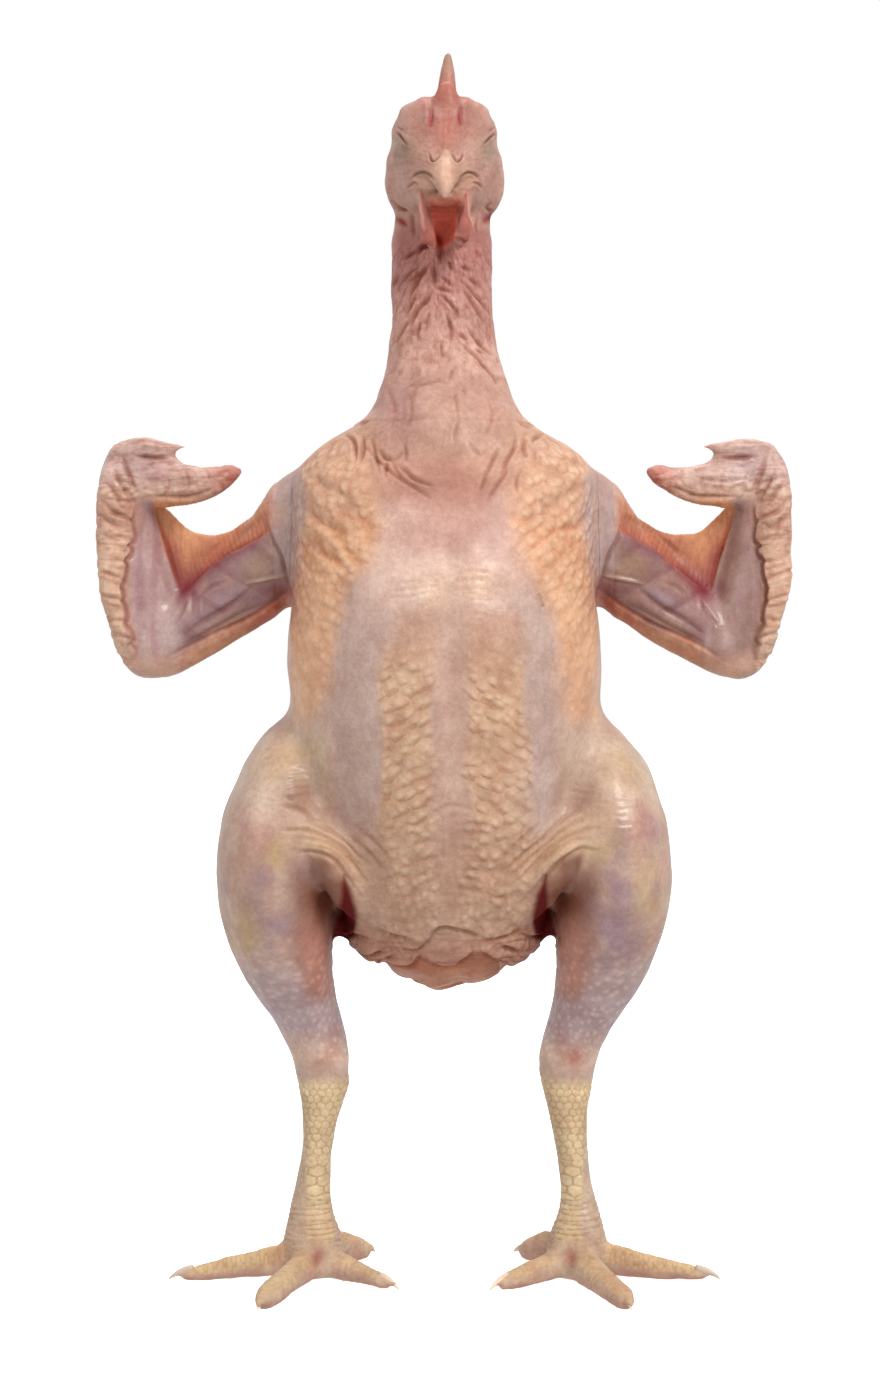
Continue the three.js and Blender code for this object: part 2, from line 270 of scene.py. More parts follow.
RAW_SKIN = colour(214, 170, 148)
FOLD_SHADE_AND_BLOOD = np.array([0.70, 0.50, 0.42])  # painted shade with the red of blood: what it does to the colour in and round a fold
MARKS = ("wet", "wrinkle", "pore", "vein", "roots", "groove", "dot", "deep")
JAW = np.array([0.0, -17.0, 425.0])
JAW_UP = np.array([0.0, -0.276, 0.961])
COLLAR = (0.0, 0.0, 361.0)
SHOULDER = 73.0  # how far out the skin of the wing begins
ABOVE_THIGHS = 240.0
HOCK = (0.0, 0.0, 78.0)
UP = (0.0, 0.0, 1.0)
DOWN = (0.0, 0.0, -1.0)
OVERLAP = 5.0  # how far two stretches run on past the seam between them


class Surface:
    """A stretch of the bird's surface while its relief and colours are being made."""

    def __init__(self, name, grain, seams):
        self.name = name
        self.seams = seams
        self.mesh = stretch_of_bird(name, seams, grain)
        self.at = points_of(self.mesh) * METRE
        self.normal = normals_of(self.mesh)
        self.x, self.y, self.z = self.at.T
        self.out = np.abs(self.x)
        self.across, self.up = seen(self.at)
        self.facing = step(0.02, 0.4, -self.normal[:, 1])
        count = len(self.at)
        self.lift = np.zeros(count)
        self.tone = np.tile(RAW_SKIN, (count, 1))
        self.marks = {mark: np.zeros(count) for mark in MARKS}
        self.flow = np.zeros((count, 3))
        self.cells = np.zeros((count, 3))
        self.shift = np.zeros((count, 3))
        self.waver = 3.5 * lumps(self.at, 17, 1) + 1.6 * lumps(self.at, 7, 2) + 0.6 * lumps(self.at, 3, 3)
        self.waver_up = 3.5 * lumps(self.at, 17, 4) + 1.6 * lumps(self.at, 7, 5) + 0.6 * lumps(self.at, 3, 6)

        self.wing = step(58, 72, self.out) * step(238, 248, self.z)
        self.wing *= 1 - (1 - step(68, 76, self.out)) * (1 - step(272, 286, self.z))
        self.leg = np.maximum(step(43, 51, self.out), 1 - step(124, 130, self.z)) * step(12, 22, self.out)
        self.leg *= 1 - step(224, 242, self.z)
        self.torso = (1 - self.wing) * (1 - self.leg) * (1 - step(350, 376, self.z))

    def paint(self, tone, amount):
        """Lays a colour over the skin."""
        self.tone += (tone - self.tone) * np.clip(amount, 0, 1)[:, None]

    def shade_and_stain(self, factor, amount):
        """Deepens the colour that is there."""
        self.tone *= 1 + (np.array(factor) - 1) * np.clip(amount, 0, 1)[:, None]

    def mark(self, name, amount):
        self.marks[name] = np.maximum(self.marks[name], np.clip(amount, 0, 1))

    def rows(self, where, u, v):
        """Counts the feather roots: `u` along their rows, and `v` from row to row."""
        cells = np.stack([u + 0.09 * self.waver, v + 0.09 * self.waver_up, 0 * u], axis=1)
        self.cells = np.where(where[:, None], cells, self.cells)

    def feather_roots(self, amount, grooves=0.5):
        """Raised feather roots, each with a darker line under it."""
        uneven = np.clip(0.85 + 0.6 * lumps(self.at, 9, 21), 0.25, 1)
        self.mark("roots", amount * uneven)
        self.mark("groove", amount * uneven * grooves)

    def spot(self, across, up, wide, high, lean=0.0):
        """A soft round patch on the front of the bird."""
        right = self.across - across
        above = self.up - up - lean * right
        return np.exp(-((right / wide) ** 2) - (above / high) ** 2) * self.facing

    def inside(self, outline, soft=0.6, anywhere=False):
        """1 within a closed outline on the front of the bird, fading out across its edge."""
        ring = [*outline, outline[0]]
        reach = np.ptp(np.array(outline), axis=0).max()
        which, signed, _ = self.near(ring, reach, straight=True, anywhere=anywhere)
        place = np.stack([self.across[which], self.up[which]], axis=1)
        within = np.zeros(len(which), bool)
        for (x, z), (next_x, next_z) in zip(ring, ring[1:]):
            spans = (z > place[:, 1]) != (next_z > place[:, 1])
            slope = (next_x - x) / (next_z - z if next_z != z else 1)
            within ^= spans & (place[:, 0] < x + (place[:, 1] - z) * slope)
        amount = np.zeros(len(self.at))
        away = np.abs(signed)
        amount[which] = step(-soft, soft, np.where(within, away, -away))
        return amount if anywhere else amount * self.facing

    def pull(self, across, up, reach, move):
        """Moves the bird's outline near a place, on both of its sides."""
        for side in (-1, 1):
            away = np.hypot(self.across - side * across, self.up - up)
            step_to = np.array([side * move[0], 0, move[1]])
            self.shift += hump(0, reach, away)[:, None] * step_to

    def line(self, points, width, tone, amount, anywhere=False):
        """Paints a tapering line along a curve."""
        which, signed, share = self.near(points, 3 * width, anywhere=anywhere)
        taper = tapering(share)
        cover = np.zeros(len(self.at))
        cover[which] = np.exp(-((signed / (width * (0.3 + 0.7 * taper))) ** 2)) * taper
        self.paint(tone, amount * cover)

    def near(self, points, reach, straight=False, anywhere=False):
        """Front points near a curve: their numbers, signed distances and shares of its length."""
        curve = np.array(points, float) if straight else curve_through(points)
        low = curve.min(axis=0) - reach
        high = curve.max(axis=0) + reach
        inside = (self.facing > 0) | anywhere
        inside &= (self.across > low[0]) & (self.across < high[0])
        inside &= (self.up > low[1]) & (self.up < high[1])
        which = np.flatnonzero(inside)
        place = np.stack([self.across[which], self.up[which]], axis=1)
        lengths = np.hypot(*np.diff(curve, axis=0).T)
        reached = np.concatenate([[0], np.cumsum(lengths)])
        best = np.full(len(which), 1e9)
        signed = np.zeros(len(which))
        share = np.zeros(len(which))
        for i, (start, end) in enumerate(zip(curve, curve[1:])):
            run = end - start
            t = np.clip(((place - start) @ run) / max(run @ run, 1e-9), 0, 1)
            gap = place - (start + t[:, None] * run)
            away = np.hypot(*gap.T)
            closer = away < best
            left = run[0] * gap[:, 1] - run[1] * gap[:, 0] >= 0
            signed = np.where(closer, np.where(left, away, -away), signed)
            share = np.where(closer, (reached[i] + t * lengths[i]) / reached[-1], share)
            best = np.where(closer, away, best)
        return which, signed, share

    def darken(self, which, depth):
        """Darkens and dulls the numbered points: painted shade, with the red of blood, in a fold."""
        amount = np.zeros(len(self.at))
        amount[which] = depth
        self.shade_and_stain(FOLD_SHADE_AND_BLOOD, amount)
        self.mark("deep", amount)

    def crease(self, points, width=1.0, depth=0.7, lip=0.35, shade_and_stain=0.8):
        """A fold pressed into the skin along a curve, deepest in the middle of its length."""
        which, signed, share = self.near(points, 6 * width)
        away = np.abs(signed)
        taper = tapering(share) * self.facing[which]
        valley = np.exp(-((away / (width * (0.4 + 0.6 * taper))) ** 2)) * taper
        banks = np.exp(-(((away - 2.1 * width) / (1.3 * width)) ** 2)) * taper
        self.lift[which] += depth * (lip * banks - valley)
        # painted shade and blood in the fold's valley
        self.darken(which, shade_and_stain * valley)

    def flap(self, points, height=1.0, reach=5.0, drop=0.8, shade_and_stain=0.8):
        """A fold that lies over what is on the right of the curve, and fades away on its left."""
        which, signed, share = self.near(points, 2.5 * reach)
        taper = tapering(share) * self.facing[which]
        over = step(-0.5, 0.6, signed) * np.exp(-np.maximum(signed, 0) / reach)
        under = np.exp(-(((signed + 0.9) / 0.9) ** 2))
        self.lift[which] += taper * (height * over - drop * under)
        # painted shade and blood under the fold's edge
        self.darken(which, shade_and_stain * under * taper)


surfaces = [
    Surface("skin", 1.5, [
        seam(COLLAR, DOWN), seam(HOCK, UP), seam((SHOULDER, 0, 0), (-1, 0, 0), ABOVE_THIGHS),
        seam((-SHOULDER, 0, 0), (1, 0, 0), ABOVE_THIGHS)]),
    Surface("neck", 1.1, [seam(COLLAR, UP), seam(JAW, -JAW_UP)]),
    Surface("head", 0.9, [seam(JAW, JAW_UP)]),
]
for side, name in ((-1, "right"), (1, "left")):
    shoulder = seam((side * SHOULDER, 0, 0), (side, 0, 0))
    surfaces.append(Surface(name + "_wing", 1.15, [shoulder, seam((0, 0, ABOVE_THIGHS + OVERLAP), UP)]))
    surfaces.append(Surface(name + "_foot", 1.1, [seam(HOCK, DOWN), seam((0, 0, 0), (side, 0, 0))]))


# ---------------------------------------------------------------------------------------------
# Breast, sides and back. The skin is thin over the breast, with bands of raised feather roots on
# orange fat at the sides and down both sides of the keel, and smooth grey-pink skin between them.
# ---------------------------------------------------------------------------------------------
TRACT_EDGE_HEIGHTS = (180, 205, 229, 241, 262, 283, 300, 316, 333, 352)
TRACT_EDGES = (62, 57, 53, 49, 46, 42, 33, 27, 31, 42)  # how near the middle the side tract comes
INNER_SLANT = -0.55  # how steeply the rows of feather roots rise outwards, in radians
SIDE_SLANT = 0.5
KEEL = 2.0  # how far to one side the keel lies
ORANGE_FAT = colour(228, 176, 138)
SHOULDER_FAT = colour(228, 178, 144)
PALE_BREAST = colour(230, 196, 182)
THIN_SKIN = colour(196, 168, 158)
KEEL_PINK = colour(210, 172, 154)
KEEL_BROWN = colour(202, 156, 132)
INNER_TRACT = colour(210, 168, 134)
COLLAR_PINK = colour(184, 134, 118)
BREAST_BLUSH = colour(192, 138, 125)
# painted highlight on the upper breast
BREAST_PAINTED_HIGHLIGHT = colour(240, 208, 184)
# painted light on the lower band, on the side the key light falls on
BAND_PAINTED_LIGHT = colour(216, 192, 182)
# painted shade in the troughs between the shoulder ridges
RIDGE_TROUGH_SHADE = np.array([0.86, 0.70, 0.58])
BELLY_TAN = colour(194, 156, 132)
FLANK_PALE = colour(206, 180, 162)
SPINE_ORANGE = colour(216, 168, 136)
ARM_SHADE = colour(196, 134, 108)
BREAST_RIPPLES = (
    [(-26, 284), (-15, 284.4), (-4, 287)],
    [(-24, 287), (-13, 287.4), (-3, 289)],
    [(-22, 290), (-12, 290.6), (-4, 291)],
    [(4, 293.5), (12, 295), (20, 294)],
    [(3, 290), (10, 291.5), (18, 291)],
    [(4, 286.5), (12, 288), (19, 287)],
    [(8, 282), (14, 283.2), (20, 282)],
    [(10, 276), (15, 277), (20, 275.5)],
)
BELLY_FOLDS = (
    [(-10.3, 189.7), (-5.5, 191.3), (0.1, 196.1), (8.1, 196.1), (14.6, 192.1)],
    [(-17.6, 188.1), (-10.3, 188.5)],
    [(8.1, 189.7), (16.2, 188.9), (22.6, 184.8)],
    [(8.1, 192.9), (13.0, 191.3)],
    [(7.3, 185.6), (15.4, 184.8)],
    [(-11.9, 172.8), (-5.5, 174.4), (0.1, 175.2)],
    [(-14, 180), (-7, 181.5)],
    [(4, 178), (12, 178.5), (18, 176)],
    [(-20, 166), (-11, 167), (-3, 168.5)],
    [(6, 170), (15, 169)],
    [(-24, 158), (-14, 159), (-5, 161)],
    [(6, 162), (17, 160), (25, 157)],
)
KEEL_LINE = [(0.3, 193), (0.5, 183), (0.7, 171)]
KEEL_LIGHT = colour(222, 186, 166)
TRACT_FOLDS = (
    [(-58, 336), (-49, 330), (-40, 325)],
    [(-60, 322), (-50, 315), (-42, 311)],
    [(-60, 308), (-52, 303), (-45, 300)],
    [(44, 331), (52, 338), (60, 342)],
    [(40, 320), (50, 326), (60, 333)],
    [(46, 308), (54, 314), (61, 319)],
)


def torso_skin(s):
    wavy = np.abs(s.across) + 0.9 * s.waver
    by_keel = np.abs(s.across - KEEL) * np.where(s.across > KEEL, 0.85, 1) + 0.9 * s.waver
    high = s.up + 0.9 * s.waver_up
    front = (1 - step(8, 22, s.y)) * s.torso
    around = 62 * np.arctan2(s.out, 13 - s.y)
    s.lift += 0.8 * lumps(s.at, 24, 11) * s.torso + 0.35 * lumps(s.at, 9, 12) * s.torso

    tract_edge = np.interp(s.up, TRACT_EDGE_HEIGHTS, TRACT_EDGES)
    side_tract = step(-5, 6, wavy - tract_edge) * (1 - step(-6, 14, s.y))
    side_tract *= between(232, 356, 12, high) * s.torso * (1 - step(61, 68, s.out))
    inner_tract = between(8, 26, 4, by_keel) * between(150, 248, 26, high) * front
    low_tract = between(6, 26, 6, by_keel) * between(146, 192, 12, high) * front
    inner_tract = np.maximum(inner_tract, 0.7 * low_tract) * step(1.5, 4, s.out)

    s.paint(THIN_SKIN, front * (1 - step(282, 300, high)) * 0.9)
    s.paint(PALE_BREAST, front * between(286, 318, 14, high) * (1 - step(22, 42, wavy)))
    s.paint(COLLAR_PINK, front * hump(329, 11, high) * (1 - step(14, 44, wavy)) * 0.9)
    s.paint(BREAST_BLUSH, 0.6 * s.spot(8, 314, 30, 14))
    s.paint(KEEL_BROWN, front * between(256, 277, 6, high) * between(5, 22, 5, by_keel) * 0.75)
    s.paint(INNER_TRACT, inner_tract * 0.85)
    s.paint(KEEL_PINK, front * hump(KEEL, 8, s.across + 0.4 * s.waver) * (1 - step(276, 296, high)) * 0.85)
    # painted highlights on the upper breast, either side of the keel
    breast_highlight = s.spot(-6, 286, 8, 6) + s.spot(15, 291, 8, 7) + 0.6 * s.spot(4, 290, 16, 10)
    s.paint(BREAST_PAINTED_HIGHLIGHT, front * breast_highlight * 0.7)
    # painted light on the right of the lower band as seen from the front, where the key light falls
    s.paint(BAND_PAINTED_LIGHT, front * s.spot(42, 200, 12, 18) * 0.6)
    s.paint(BELLY_TAN, front * (1 - step(166, 200, high)) * 0.75)
    s.paint(ORANGE_FAT, side_tract * 0.95)
    s.paint(SHOULDER_FAT, side_tract * step(296, 320, high) * 0.7)
    s.paint(FLANK_PALE, s.torso * step(-6, 12, s.y) * (1 - step(330, 350, s.z)))
    s.paint(ARM_SHADE, front * hump(0, 1, np.hypot((s.out - 62) / 5, (s.z - 292) / 20)) * 0.3)

    s.lift -= 0.9 * hump(KEEL, 3.2, s.across) * front * between(215, 300, 14, s.up)
    s.lift += 0.8 * (hump(-9, 6, s.across) + hump(12, 6, s.across)) * front * between(225, 300, 14, s.up)
    upper = step(262, 300, s.z)
    slant = np.where((s.out < 38) & (s.z < 288), INNER_SLANT, SIDE_SLANT)
    along_row = around * np.cos(slant) + s.z * np.sin(slant)
    row = s.z * np.cos(slant) - around * np.sin(slant)
    s.rows(s.y < 18, np.sign(s.x) * along_row / 5.3, row / 4.7)
    s.feather_roots(side_tract * (0.55 + 0.45 * upper), 0.35 + 0.4 * upper)
    ridges = np.sin(row * 2 * math.pi / 9.5 + 0.9 * s.waver)
    ridged = side_tract * step(284, 306, s.z) * np.clip(0.6 + 0.8 * lumps(s.at, 12, 13), 0, 1)
    s.lift += 0.28 * ridged * ridges
    # painted shade in the troughs between the ridges
    s.shade_and_stain(RIDGE_TROUGH_SHADE, 0.8 * ridged * np.clip(-ridges, 0, 1))
    s.feather_roots(inner_tract, 0.5 + 0.5 * between(200, 250, 15, s.z))
    s.lift += 0.5 * inner_tract * lumps(np.stack([along_row / 9, row / 4, s.x / 20], axis=1), 1.0, 14)

    spine = hump(0, 20, s.x + 0.6 * s.waver) * step(22, 34, s.y) * s.torso
    s.paint(SPINE_ORANGE, spine * 0.9)
    s.rows((s.y >= 18) & (s.wing < 0.5) & (s.z > 160), s.x / 5.0, (s.z - 0.6 * s.out) / 5.4)
    s.feather_roots(spine, 0.4)
    for points in BREAST_RIPPLES:
        s.crease(points, 0.6, 0.18, 1.0, shade_and_stain=0.08)
    for points in BELLY_FOLDS:
        s.crease(points, 1.0, 0.35, 0.7, shade_and_stain=0.15)
    # painted shade over the upper torso, where the light from above falls strongest
    s.shade_and_stain((0.94, 0.91, 0.90), s.torso * step(292, 326, high))
    s.crease(KEEL_LINE, 0.8, -0.35, 0.3, shade_and_stain=0)
    s.line(KEEL_LINE, 0.8, KEEL_LIGHT, 0.5)
    for points in TRACT_FOLDS:
        s.crease(points, 2.2, 0.7, 0.4, shade_and_stain=0.3)
    s.mark("wrinkle", front * (s.spot(-14, 289, 16, 9) + s.spot(16, 290, 18, 14)) * 0.3)
    s.mark("wrinkle", step(0.6, 0.95, front) * (1 - step(168, 196, high)) * 0.4)
    s.flow += (s.at * [0.3, 0.3, 0.8] - s.flow) * (s.z < COLLAR[2])[:, None]
    taut = front * step(200, 260, high) * (1 - step(290, 312, high))
    s.mark("wet", taut * (0.6 + 0.3 * lumps(s.at, 6, 15)))
    s.mark("pore", s.torso * 0.7)


# ---------------------------------------------------------------------------------------------
# Neck and crop. Loose skin hangs in folds that fan down and out from under the throat, and the
# crop below it is lumpy, with small purple veins. Deep folds run from its root to the shoulders.
# ---------------------------------------------------------------------------------------------
FAN_TOP = (-3.0, 446.0)  # where the folds of the throat spread from
NECK_AXIS_BACK = 14.0
NECK_PINK = colour(216, 172, 156)
UPPER_NECK_PINK = colour(200, 148, 138)
THROAT_FOLDS = colour(168, 102, 94)
CROP_PINK = colour(194, 152, 134)
VEIN_PURPLE = colour(160, 112, 120)
SHOULDER_PEACH = colour(206, 160, 132)
NECK_CREASES = (
    ([(-4.7, 425.4), (-4.4, 419.7), (-4.5, 414.7)], 0.9, 1.3),
    ([(-4.5, 414.4), (-1.0, 413.4), (3.0, 412.4)], 0.7, 0.8),
    ([(-1.7, 434.5), (-1.7, 430.4), (-2.0, 425.1)], 1.4, 1.8),
    ([(-11.1, 428.4), (-9.1, 431.1), (-5.1, 432.1)], 1.1, 1.3),
    ([(-17.1, 425.8), (-13.8, 428.4), (-10.7, 429.8)], 0.9, 1.0),
    ([(-5.4, 425.1), (-7.7, 422.4), (-11.8, 418.4), (-15.1, 416.4)], 0.9, 1.0),
    ([(-10.4, 423.1), (-13.8, 420.7), (-17.8, 416.4)], 0.8, 0.8),
    ([(-8.4, 421.1), (-12.4, 415.0), (-15.1, 409.7)], 0.9, 1.1),
    ([(-11.8, 411.7), (-13.8, 407.0), (-16.4, 402.3)], 0.8, 0.9),
    ([(-5.1, 413.0), (-7.7, 408.3), (-11.1, 405.0), (-14.4, 398.3)], 0.8, 1.0),
    ([(-15.1, 401.0), (-17.8, 395.6), (-20.5, 390.9)], 0.7, 0.6),
    ([(-6.4, 403.7), (-7.7, 399.6)], 0.7, 0.5),
    ([(-10.4, 400.3), (-11.1, 395.6), (-11.8, 392.3)], 0.7, 0.7),
    ([(1.6, 425.4), (3.0, 421.1)], 0.8, 0.9),
    ([(6.3, 423.1), (11.0, 421.1)], 0.8, 0.8),
    ([(-1.7, 419.1), (1.6, 416.4), (3.0, 414.4)], 0.7, 0.7),
    ([(-1.7, 411.0), (1.6, 408.3), (4.3, 405.0), (6.0, 401.7)], 0.7, 0.9),
    ([(0.3, 404.3), (2.3, 398.3), (3.0, 395.6), (2.3, 390.3)], 0.7, 0.9),
    ([(8.3, 412.4), (12.4, 406.3), (16.4, 399.6)], 0.8, 0.8),
    ([(9.7, 418.4), (14.4, 415.0)], 0.8, 0.7),
    ([(5.7, 395.0), (9.7, 392.3)], 0.7, 0.5),
    ([(9.7, 397.0), (15.0, 390.3), (20.4, 385.6)], 0.7, 0.7),
    ([(13.0, 388.3), (16.4, 386.3)], 0.6, 0.5),
    ([(-3.0, 411.7), (-2.4, 407.0)], 0.6, 0.5),
    ([(-1.7, 391.6), (-1.0, 385.6)], 0.6, 0.5),
    ([(3.0, 380.2), (1.6, 374.2)], 0.7, 0.6),
    ([(-17.1, 371.5), (-15.1, 372.9), (-10.4, 373.9)], 0.7, 0.5),
    ([(-13.1, 366.2), (-12.4, 370.9), (-9.7, 373.5), (-3.7, 374.5), (2.3, 373.2)], 0.9, 0.7),
    ([(4.0, 369.5), (5.0, 364.2), (5.3, 358.8)], 0.7, 0.8),
    ([(5.3, 358.1), (4.3, 353.4), (3.6, 349.4)], 0.7, 0.9),
    ([(7.0, 371.5), (9.0, 368.8)], 0.7, 0.5),
    ([(20.4, 372.9), (23.1, 376.2), (25.7, 374.2)], 0.8, 0.5),
    ([(-28.0, 347.0), (-25.0, 343.0), (-21.0, 342.0), (-17.0, 346.0), (-16.0, 351.0)], 0.9, 0.6),
    ([(-14.5, 369.0), (-13.7, 363.0), (-15.8, 356.0)], 0.9, 0.6),
    ([(10.0, 349.0), (15.0, 344.0), (19.0, 347.0)], 0.9, 0.5),
    ([(18.3, 367.0), (20.4, 361.0), (18.3, 353.0)], 0.9, 0.5),
    ([(-24.0, 372.0), (-21.0, 364.0), (-22.0, 356.0)], 0.9, 0.4),
    ([(6.0, 391.0), (13.0, 385.0), (22.0, 374.0)], 0.8, 0.4),
    ([(-19.0, 420.0), (-22.0, 414.0)], 0.7, 0.6),
    ([(6.0, 418.0), (12.0, 412.0), (20.0, 402.0)], 0.7, 0.6),
)
SHOULDER_CREASES = (
    ([(-41.9, 352.1), (-38.5, 350.1), (-37.5, 346.1), (-37.2, 341.4)], 0.9, 1.3),
    ([(-34.2, 351.4), (-34.5, 344.7), (-35.9, 340.1)], 0.9, 1.2),
    ([(-35.9, 355.5), (-31.8, 358.1)], 0.9, 0.9),
    ([(-30.5, 350.1), (-29.2, 344.7), (-27.2, 336.7)], 0.9, 1.1),
    ([(-27.8, 346.1), (-25.1, 342.7), (-21.8, 342.7)], 1.1, 1.0),
    ([(-24.5, 341.4), (-24.8, 334.0)], 0.8, 0.8),
    ([(-21.8, 341.4), (-20.5, 338.0), (-18.4, 334.7)], 0.8, 1.0),
    ([(-19.8, 339.4), (-15.8, 336.7), (-13.1, 334.0), (-5.0, 331.0)], 1.0, 1.3),
    ([(-33, 347), (-24, 338), (-14, 331), (-6, 326)], 1.0, 1.0),
    ([(-16.4, 347.4), (-16.1, 341.4)], 0.8, 0.8),
    ([(30.4, 352.1), (29.1, 346.7), (25.7, 340.7), (24.4, 334.7)], 0.9, 1.3),
    ([(34.1, 352.1), (33.4, 346.7), (34.1, 342.7)], 0.9, 1.1),
    ([(42.5, 353.4), (37.8, 350.8), (37.5, 349.1)], 0.9, 1.2),
    ([(37.8, 346.1), (38.1, 341.4)], 0.8, 0.7),
    ([(31.8, 358.1), (35.8, 356.1), (39.1, 356.5)], 0.9, 0.9),
    ([(18.4, 339.4), (16.7, 334.0), (14.5, 328)], 0.9, 0.9),
    ([(23.1, 347.4), (19.7, 340.7), (18.0, 336)], 0.9, 1.0),
    ([(27, 338), (22, 331), (18, 325)], 0.9, 0.8),
    ([(32, 338), (30, 332), (31, 327)], 0.8, 0.6),
)


def sharp_folds(at, seed):
    """1 along thin, wandering lines, and 0 between them."""
    return np.clip(1 - np.abs(lumps(at, 1.0, seed)) * 2, 0, 1)


def neck_skin(s):
    neck = step(352, 366, s.z) * (1 - s.wing) * (1 - step(438, 447, s.z))
    turn = np.arctan2(s.x, NECK_AXIS_BACK - s.y)
    down = FAN_TOP[1] - s.z
    sideways = np.abs(turn * 21 - FAN_TOP[0]) + 0.35 * s.waver
    ridge_across = np.arctan2(sideways, down) * 26 / 2.7
    radius = np.hypot(sideways, down)
    ridges = np.stack([ridge_across + 0.25 * s.waver, radius / 10, s.x / 16], axis=1)
    ridged = sharp_folds(ridges, 31)
    fine = sharp_folds(ridges * [2.1, 2.6, 1], 32)
    upper = step(366, 404, s.z) * (1 - step(426, 438, s.z))
    amount = neck * (0.25 + 0.75 * upper)
    s.lift -= amount * (0.30 * ridged**3 + 0.22 * fine**3)
    s.lift += neck * (0.7 * lumps(s.at, 13, 33) + 0.3 * lumps(s.at, 6, 34))

    crop = between(350, 374, 10, s.z) * (1 - step(38, 48, s.out)) * (1 - s.wing)
    s.lift += 1.1 * crop * s.facing * lumps(s.at * [1, 1, 0.8], 8, 35)
    s.lift += 1.2 * hump(0, 1, np.hypot((s.across + 3.5) / 10, (s.up - 365) / 9)) * s.facing

    s.paint(NECK_PINK, neck)
    s.paint(UPPER_NECK_PINK, step(385, 420, s.z + s.waver) * neck)
    s.paint(THROAT_FOLDS, neck * s.facing * step(412, 434, s.z + s.waver) * 0.6)
    s.paint(CROP_PINK, crop * 0.7)
    s.shade_and_stain((0.90, 0.82, 0.82), neck * step(0, 0.6, lumps(s.at, 9, 36)) * 0.5)
    # painted shade and blood in the neck's folds
    s.shade_and_stain(FOLD_SHADE_AND_BLOOD, amount * ridged**4 * (0.05 + 0.25 * upper))
    s.shade_and_stain(FOLD_SHADE_AND_BLOOD, amount * fine**4 * (0.1 + 0.5 * upper))
    left_crop = hump(0, 1, np.hypot((s.across + 20) / 11, (s.up - 362) / 16)) * s.facing
    s.paint(VEIN_PURPLE, 0.35 * left_crop)
    shoulder = between(326, 356, 10, s.z) * step(18, 40, s.out + 0.5 * s.waver) * (1 - step(20, 40, s.y))
    s.paint(SHOULDER_PEACH, shoulder * (1 - s.wing) * 0.8)
    for points, width, depth in NECK_CREASES:
        loose = 1 if points[0][1] > 385 else 0.5
        s.crease(points, width, (0.3 + loose) * depth, shade_and_stain=loose)
    for points, width, depth in SHOULDER_CREASES:
        s.crease(points, 0.85 * width, depth, shade_and_stain=0.85)
    s.mark("wrinkle", neck * step(368, 382, s.z) * (1 - step(430, 440, s.z)) * 0.8)
    s.mark("vein", np.maximum(0.5 * left_crop, crop * 0.3))
    flow = np.stack([ridge_across * 4.4, radius * 0.5, s.x * 0.3], axis=1)
    s.flow += (flow - s.flow) * ((s.z >= COLLAR[2]) & (s.z < 442))[:, None]


# ---------------------------------------------------------------------------------------------
# Vent and tail. Slack belly skin hangs in lapping folds over the vent, and the fleshy, pointed
# tail hangs below and behind it.
# ---------------------------------------------------------------------------------------------
VENT_PINK = colour(196, 142, 120)
TAIL_FLESH = colour(206, 144, 112)
TAIL_OUTLINE = [
    (-27, 130.5), (-20.8, 129.8), (-14.9, 130.2), (-11.1, 134), (-6, 131), (4.4, 130.6), (9, 134),
    (12.8, 136), (19.1, 133.6), (23, 130.8), (23, 108), (-27, 108),
]
VENT_FLAPS = (
    ([(-43.0, 142.2), (-36.3, 143.1), (-30.5, 141.4)], 1.1),
    ([(-39.7, 136.4), (-31.4, 135.6), (-26.0, 137.0)], 0.9),
    ([(-36.0, 132.5), (-28.0, 132.0), (-21.0, 135.0)], 0.7),
    ([(-24.0, 130.2), (-14.8, 129.8), (-10.5, 134.2)], 1.1),
    ([(-16.0, 136.9), (-11.2, 137.8), (-7.2, 140.6)], 1.4),
    ([(-7.2, 140.6), (-4.7, 144.7), (0.1, 146.7), (9.8, 144.7), (16.2, 142.3)], 0.8),
    ([(-9.5, 134.2), (-3.1, 131.0), (4.9, 130.2), (9.8, 134.2), (13.0, 135.8)], 1.4),
    ([(11.4, 135.8), (16.2, 135.8), (21.0, 132.6)], 1.4),
    ([(21.0, 132.6), (29.0, 130.2)], 0.8),
    ([(24.0, 138.5), (32.2, 136.8)], 0.7),
    ([(34.7, 143.1), (39.5, 142.3), (43.5, 144.7)], 1.2),
    ([(-30.0, 146.0), (-22.0, 143.0), (-14.0, 141.5)], 0.5),
    ([(16.0, 141.0), (25.0, 142.0), (33.0, 146.0)], 0.5),
)


def vent_skin(s):
    low = (1 - step(140, 158, s.z + s.waver)) * s.torso
    tail = s.inside(TAIL_OUTLINE, 0.7, anywhere=True) * (s.z < 140)
    s.paint(VENT_PINK, low * 0.7)
    layers = np.stack([s.x / 10, s.z / 2.4, s.y / 10], axis=1) + s.waver[:, None] / 9
    folds = sharp_folds(layers, 41)
    by_side = 0.6 + 0.5 * step(14, 28, s.out)
    s.lift -= by_side * folds**2 * low * (1 - tail)
    # painted shade and blood in the folds over the vent
    s.shade_and_stain(FOLD_SHADE_AND_BLOOD, 0.55 * by_side * folds**4 * low * (1 - tail))
    s.paint(TAIL_FLESH, tail * 0.9)
    s.shade_and_stain((0.78, 0.55, 0.48), tail * step(-2.5, 1.5, s.up - 128) * 0.5)
    s.shift[:, 1] += 5.0 * tail
    s.lift += tail * (0.9 * lumps(s.at, 6, 42) + 1.2 * hump(0, 4, s.across + 4) - 0.8 * hump(6, 3, s.across))
    for points, height in VENT_FLAPS:
        s.flap(points, 1.5 * height, 4.5, 1.2, shade_and_stain=0.8)
    s.pull(33, 134, 5, (0, -1.4))
    s.pull(25, 129, 2.6, (0, 1.6))
    s.mark("wrinkle", low * 0.7)


